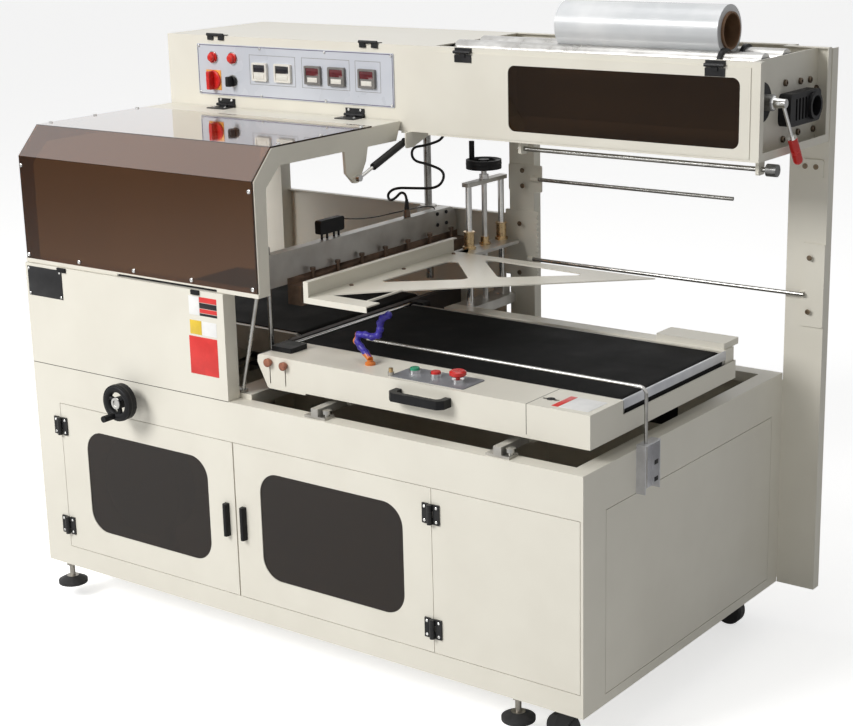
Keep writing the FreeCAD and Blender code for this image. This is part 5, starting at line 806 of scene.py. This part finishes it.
# Film head: a folded, cut-out cream plate on a steel carriage, which slides on two posts in brass
# bushes. The black handwheel on top turns the screw that raises it.
brass = coated("bush_brass", (0.62, 0.46, 0.26, 1.0), (0.50, 0.36, 0.20, 1.0), gloss=(0.2, 0.36), patch=60.0, metallic=1.0)
plate, carriage = solids_of(
    "film_plate",
    "film_head",
    {
        "film_plate_sheet": lambda x, y, z, tall: x > 1000.0,
        "film_head_carriage": lambda x, y, z, tall: True,
    },
)
dress(cream_coat, plate)
fasten("film_plate_screws", pane_screw, [(867.0, y, 903.0) for y in (236.0, 437.0, 642.0)], (0, 0, 1), heat_brown, "film_head")
by_face(carriage, (dull_steel, brass), lambda p, n: 1 if p.z > 900.1 and p.x < 882.0 else 0)

# Columns, guard and post behind the cabinet: folded cream sheet, bolted to the back, with steel
# plates that hold the film rods. The rack plate has teeth along one edge.
dress(cream_coat, "rear_columns")
left_bolts = [(913.0, 886.0, 1082.0), (913.0, 886.0, 1042.0), (903.0, 886.0, 942.0), (902.0, 886.0, 812.0)]
right_bolts = [(1714.0, 893.0, 939.0), (1714.0, 893.0, 809.0), (1692.0, 900.0, 1153.0), (1719.0, 900.0, 1153.0)]
flat_screw = screw_head(6.5, 1.1)
bolt_brown = coated("bolt_brown", (0.21, 0.16, 0.11, 1.0), (0.12, 0.09, 0.06, 1.0), gloss=(0.3, 0.45), patch=90.0, metallic=0.9)
fasten("column_plate_bolts", flat_screw, left_bolts + right_bolts, (0, -1, 0), bolt_brown, "base")

# Control box: a cream sheet box with a hinged lid. Its printed grey panel carries five meters,
# two red lamps, the red main switch and a black selector.
dress(cream_coat, "control_box")
lid, lid_leaves = solids_of(
    "control_lid",
    "lid_body",
    {
        "control_lid_sheet": lambda x, y, z, tall: abs(x - 433.0) < 5.0,
        "control_lid_hinge_leaves": lambda x, y, z, tall: True,
    },
)
dress(cream_coat, lid)
dress(black_enamel, lid_leaves)
panel, meters, lamps = solids_of(
    "label_panel",
    "base",
    {
        "label_plate": lambda x, y, z, tall: y > 547.0,
        "meter_bezels": lambda x, y, z, tall: x > 260.0,
        "pilot_lamps": lambda x, y, z, tall: True,
    },
)
label_grey = coated("label_grey", (0.60, 0.625, 0.68, 1.0), (0.56, 0.585, 0.64, 1.0), gloss=(0.25, 0.34), patch=6.0)
lamp_red = coated("lamp_red", (0.70, 0.03, 0.02, 1.0), (0.58, 0.02, 0.015, 1.0), gloss=(0.12, 0.2), patch=60.0)
bezel_grey = coated("meter_bezel_grey", (0.20, 0.19, 0.18, 1.0), (0.16, 0.15, 0.14, 1.0), gloss=(0.35, 0.45), patch=60.0)
dress(label_grey, panel)
dress(bezel_grey, meters)
dress(lamp_red, lamps)
dark_border = coated("panel_border", (0.10, 0.08, 0.16, 1.0), (0.07, 0.06, 0.12, 1.0), gloss=(0.3, 0.4), patch=40.0)
switch_yellow = coated("switch_yellow", (0.86, 0.36, 0.04, 1.0), (0.78, 0.30, 0.03, 1.0), gloss=(0.25, 0.35), patch=60.0)
display_black = coated("display_black", (0.016, 0.014, 0.020, 1.0), (0.010, 0.010, 0.014, 1.0), gloss=(0.12, 0.2), patch=60.0)
display_red = coated("display_red", (0.13, 0.012, 0.016, 1.0), (0.09, 0.008, 0.012, 1.0), gloss=(0.12, 0.2), patch=60.0)
key_white = coated("key_white", (0.78, 0.76, 0.70, 1.0), (0.72, 0.70, 0.64, 1.0), gloss=(0.3, 0.4), patch=60.0)


def open_frame(name, low, high, width, finish, body):
    """A thin rectangular frame between two corners in millimetres, open from front to back."""
    first = at(*low)
    last = at(*high)
    bpy.ops.object.select_all(action="DESELECT")
    bpy.ops.mesh.primitive_cube_add(size=1.0, location=(first + last) / 2.0, scale=last - first)
    border = bpy.context.object
    bpy.ops.object.transform_apply(location=True, rotation=True, scale=True)
    bpy.ops.object.mode_set(mode="EDIT")
    bpy.ops.mesh.select_mode(type="FACE")
    bpy.ops.mesh.select_all(action="DESELECT")
    shape = bmesh.from_edit_mesh(border.data)
    for face in shape.faces:
        face.select_set(abs(face.normal.y) > 0.9)
    bmesh.update_edit_mesh(border.data)
    bpy.ops.mesh.inset(thickness=width / 1000.0, use_individual=True)
    bpy.ops.mesh.bridge_edge_loops()
    bpy.ops.mesh.select_all(action="SELECT")
    bpy.ops.mesh.normals_make_consistent(inside=False)
    bpy.ops.object.mode_set(mode="OBJECT")
    return settle(border, name, finish, body)


open_frame("label_border", (112.0, 546.5, 1276.0), (764.0, 547.0, 1404.0), 1.6, dark_border, "base")
for name, x0, x1 in (("meter_group_left", 294.0, 450.0), ("meter_group_middle", 472.0, 628.0), ("meter_group_right", 646.0, 726.0)):
    open_frame(name, (x0, 546.7, 1308.0), (x1, 547.0, 1384.0), 0.9, bezel_grey, "base")
for number, (x0, x1) in enumerate(((307.0, 357.0), (383.0, 438.0), (485.0, 537.0), (562.0, 615.0), (659.0, 712.0)), 1):
    glass = display_black if number < 3 else display_red
    block(f"meter_{number}_display", (x0 + 6.0, 540.0, 1341.0), (x1 - 6.0, 541.2, 1359.5), 0.4, glass, "base")
    block(f"meter_{number}_keys", (x0 + 10.0, 539.8, 1324.0), (x1 - 10.0, 541.2, 1336.0), 0.5, key_white, "base")
by_face(meters, (key_white, bezel_grey), lambda p, n: 0 if p.x < 450.0 else 1)
rim_row = [(x, 546.6, z) for x in (116.5, 332.0, 549.0, 760.0) for z in (1279.5, 1400.5)]
fasten("label_screws", small_screw, rim_row, (0, -1, 0), screw_zinc, "base")
block("main_switch_plate", (140.0, 545.4, 1287.0), (192.0, 547.0, 1339.0), 1.2, switch_yellow, "base")
for name, x, z in (("lamp_left", 167.0, 1372.0), ("lamp_right", 236.0, 1372.0), ("selector", 234.0, 1313.0)):
    collar(name + "_collar", (x, 547.0, z), (0, -1, 0), 17.0, 14.4, 2.2, screw_zinc, "base")
dress(button_red, "main_switch")
dress(black_mould, "selector_switch")

# Film box: cream, open on top, with two steel cradle rollers in black bearings. Its front door is a
# sheet with a long smoked window, hung from the top edge.
dress(cream_coat, "film_box")
end_bolts = [
    (1715.0, y, z)
    for y, z in ((732.0, 1364.0), (808.0, 1360.0), (857.0, 1358.0), (891.0, 1335.0), (880.0, 1244.0), (726.0, 1240.0), (802.0, 1247.0))
]
end_bolt = screw_head(7.5, 5.0)
bolt_dark = coated("bolt_dark", (0.16, 0.12, 0.085, 1.0), (0.09, 0.07, 0.05, 1.0), gloss=(0.3, 0.45), patch=90.0, metallic=0.9)
fasten("film_box_end_bolts", end_bolt, end_bolts, (1, 0, 0), bolt_dark, "base")
for side, y in (("front", 663.0), ("rear", 767.0)):
    collar(
        f"cradle_{side}_flange", (1598.0, y, 1410.0), (1, 0, 0), 32.0, 25.2, 9.0, black_mould,
        f"cradle_{side}_body"
    )
dress(bare_steel, "cradle_roller_front", "cradle_roller_rear")
door_skin, door_pane, door_leaves = solids_of(
    "film_door",
    "film_door_body",
    {
        "film_door_skin": lambda x, y, z, tall: 548.0 < y < 550.0,
        "film_door_pane": lambda x, y, z, tall: y > 550.0,
        "film_door_hinge_leaves": lambda x, y, z, tall: True,
    },
)
dress(cream_coat, door_skin)
dress(smoke_sheet, door_pane)
dress(black_enamel, door_leaves)

# Film reel: hundreds of turns of clear film on a brown cardboard core. The wound side is a milky bright skin.
wound_film = coated("wound_film", (0.82, 0.83, 0.84, 1.0), (0.66, 0.68, 0.70, 1.0), gloss=(0.12, 0.26), patch=6.0, relief=0.0004)
card_core = coated("card_core", (0.235, 0.130, 0.070, 1.0), (0.175, 0.095, 0.050, 1.0), gloss=(0.6, 0.75), patch=40.0, relief=0.0003)
film, core = solids_of(
    "film_roll",
    "film_roll_body",
    {
        "film_turns": lambda x, y, z, tall: tall > 100.0,
        "film_core": lambda x, y, z, tall: True,
    },
)
dress(wound_film, film)
dress(card_core, core)

# Clamp lever and ribbed housing on the right end: the lever clamps the film shaft, with a red grip
# on a chrome arm. The housing is black moulded plastic with close ribs.
rod_block, housings = solids_of(
    "bearing_housings",
    "base",
    {
        "rod_end_block": lambda x, y, z, tall: z < 1210.0,
        "bearing_and_shaft_housings": lambda x, y, z, tall: True,
    },
)
dark_zinc = coated("dark_zinc", (0.22, 0.22, 0.215, 1.0), (0.15, 0.15, 0.148, 1.0), gloss=(0.3, 0.44), patch=40.0, metallic=0.9)
dress(dark_zinc, rod_block)
dress(black_mould, housings)
(lever,) = solids_of("clamp_lever", "clamp_lever_body", {"clamp_lever_and_grip": lambda x, y, z, tall: True})
by_face(lever, (polished, button_red, dark_zinc), lambda p, n: 1 if p.z < 1250.0 else (2 if p.x < 1747.0 else 0))
(head_wheel,) = solids_of("head_handwheel", "head_handwheel_body", {"head_handwheel_and_screw": lambda x, y, z, tall: True})
by_face(head_wheel, (black_mould, bare_steel), lambda p, n: 1 if p.z < 1094.0 else 0)
spun(head_wheel, (857.0, 794.0, 1100.0), "Z", 180.0)
collar("head_handwheel_drum", (857.0, 794.0, 1097.0), (0, 0, 1), 45.5, 39.5, 23.0, black_mould, "head_handwheel_body")
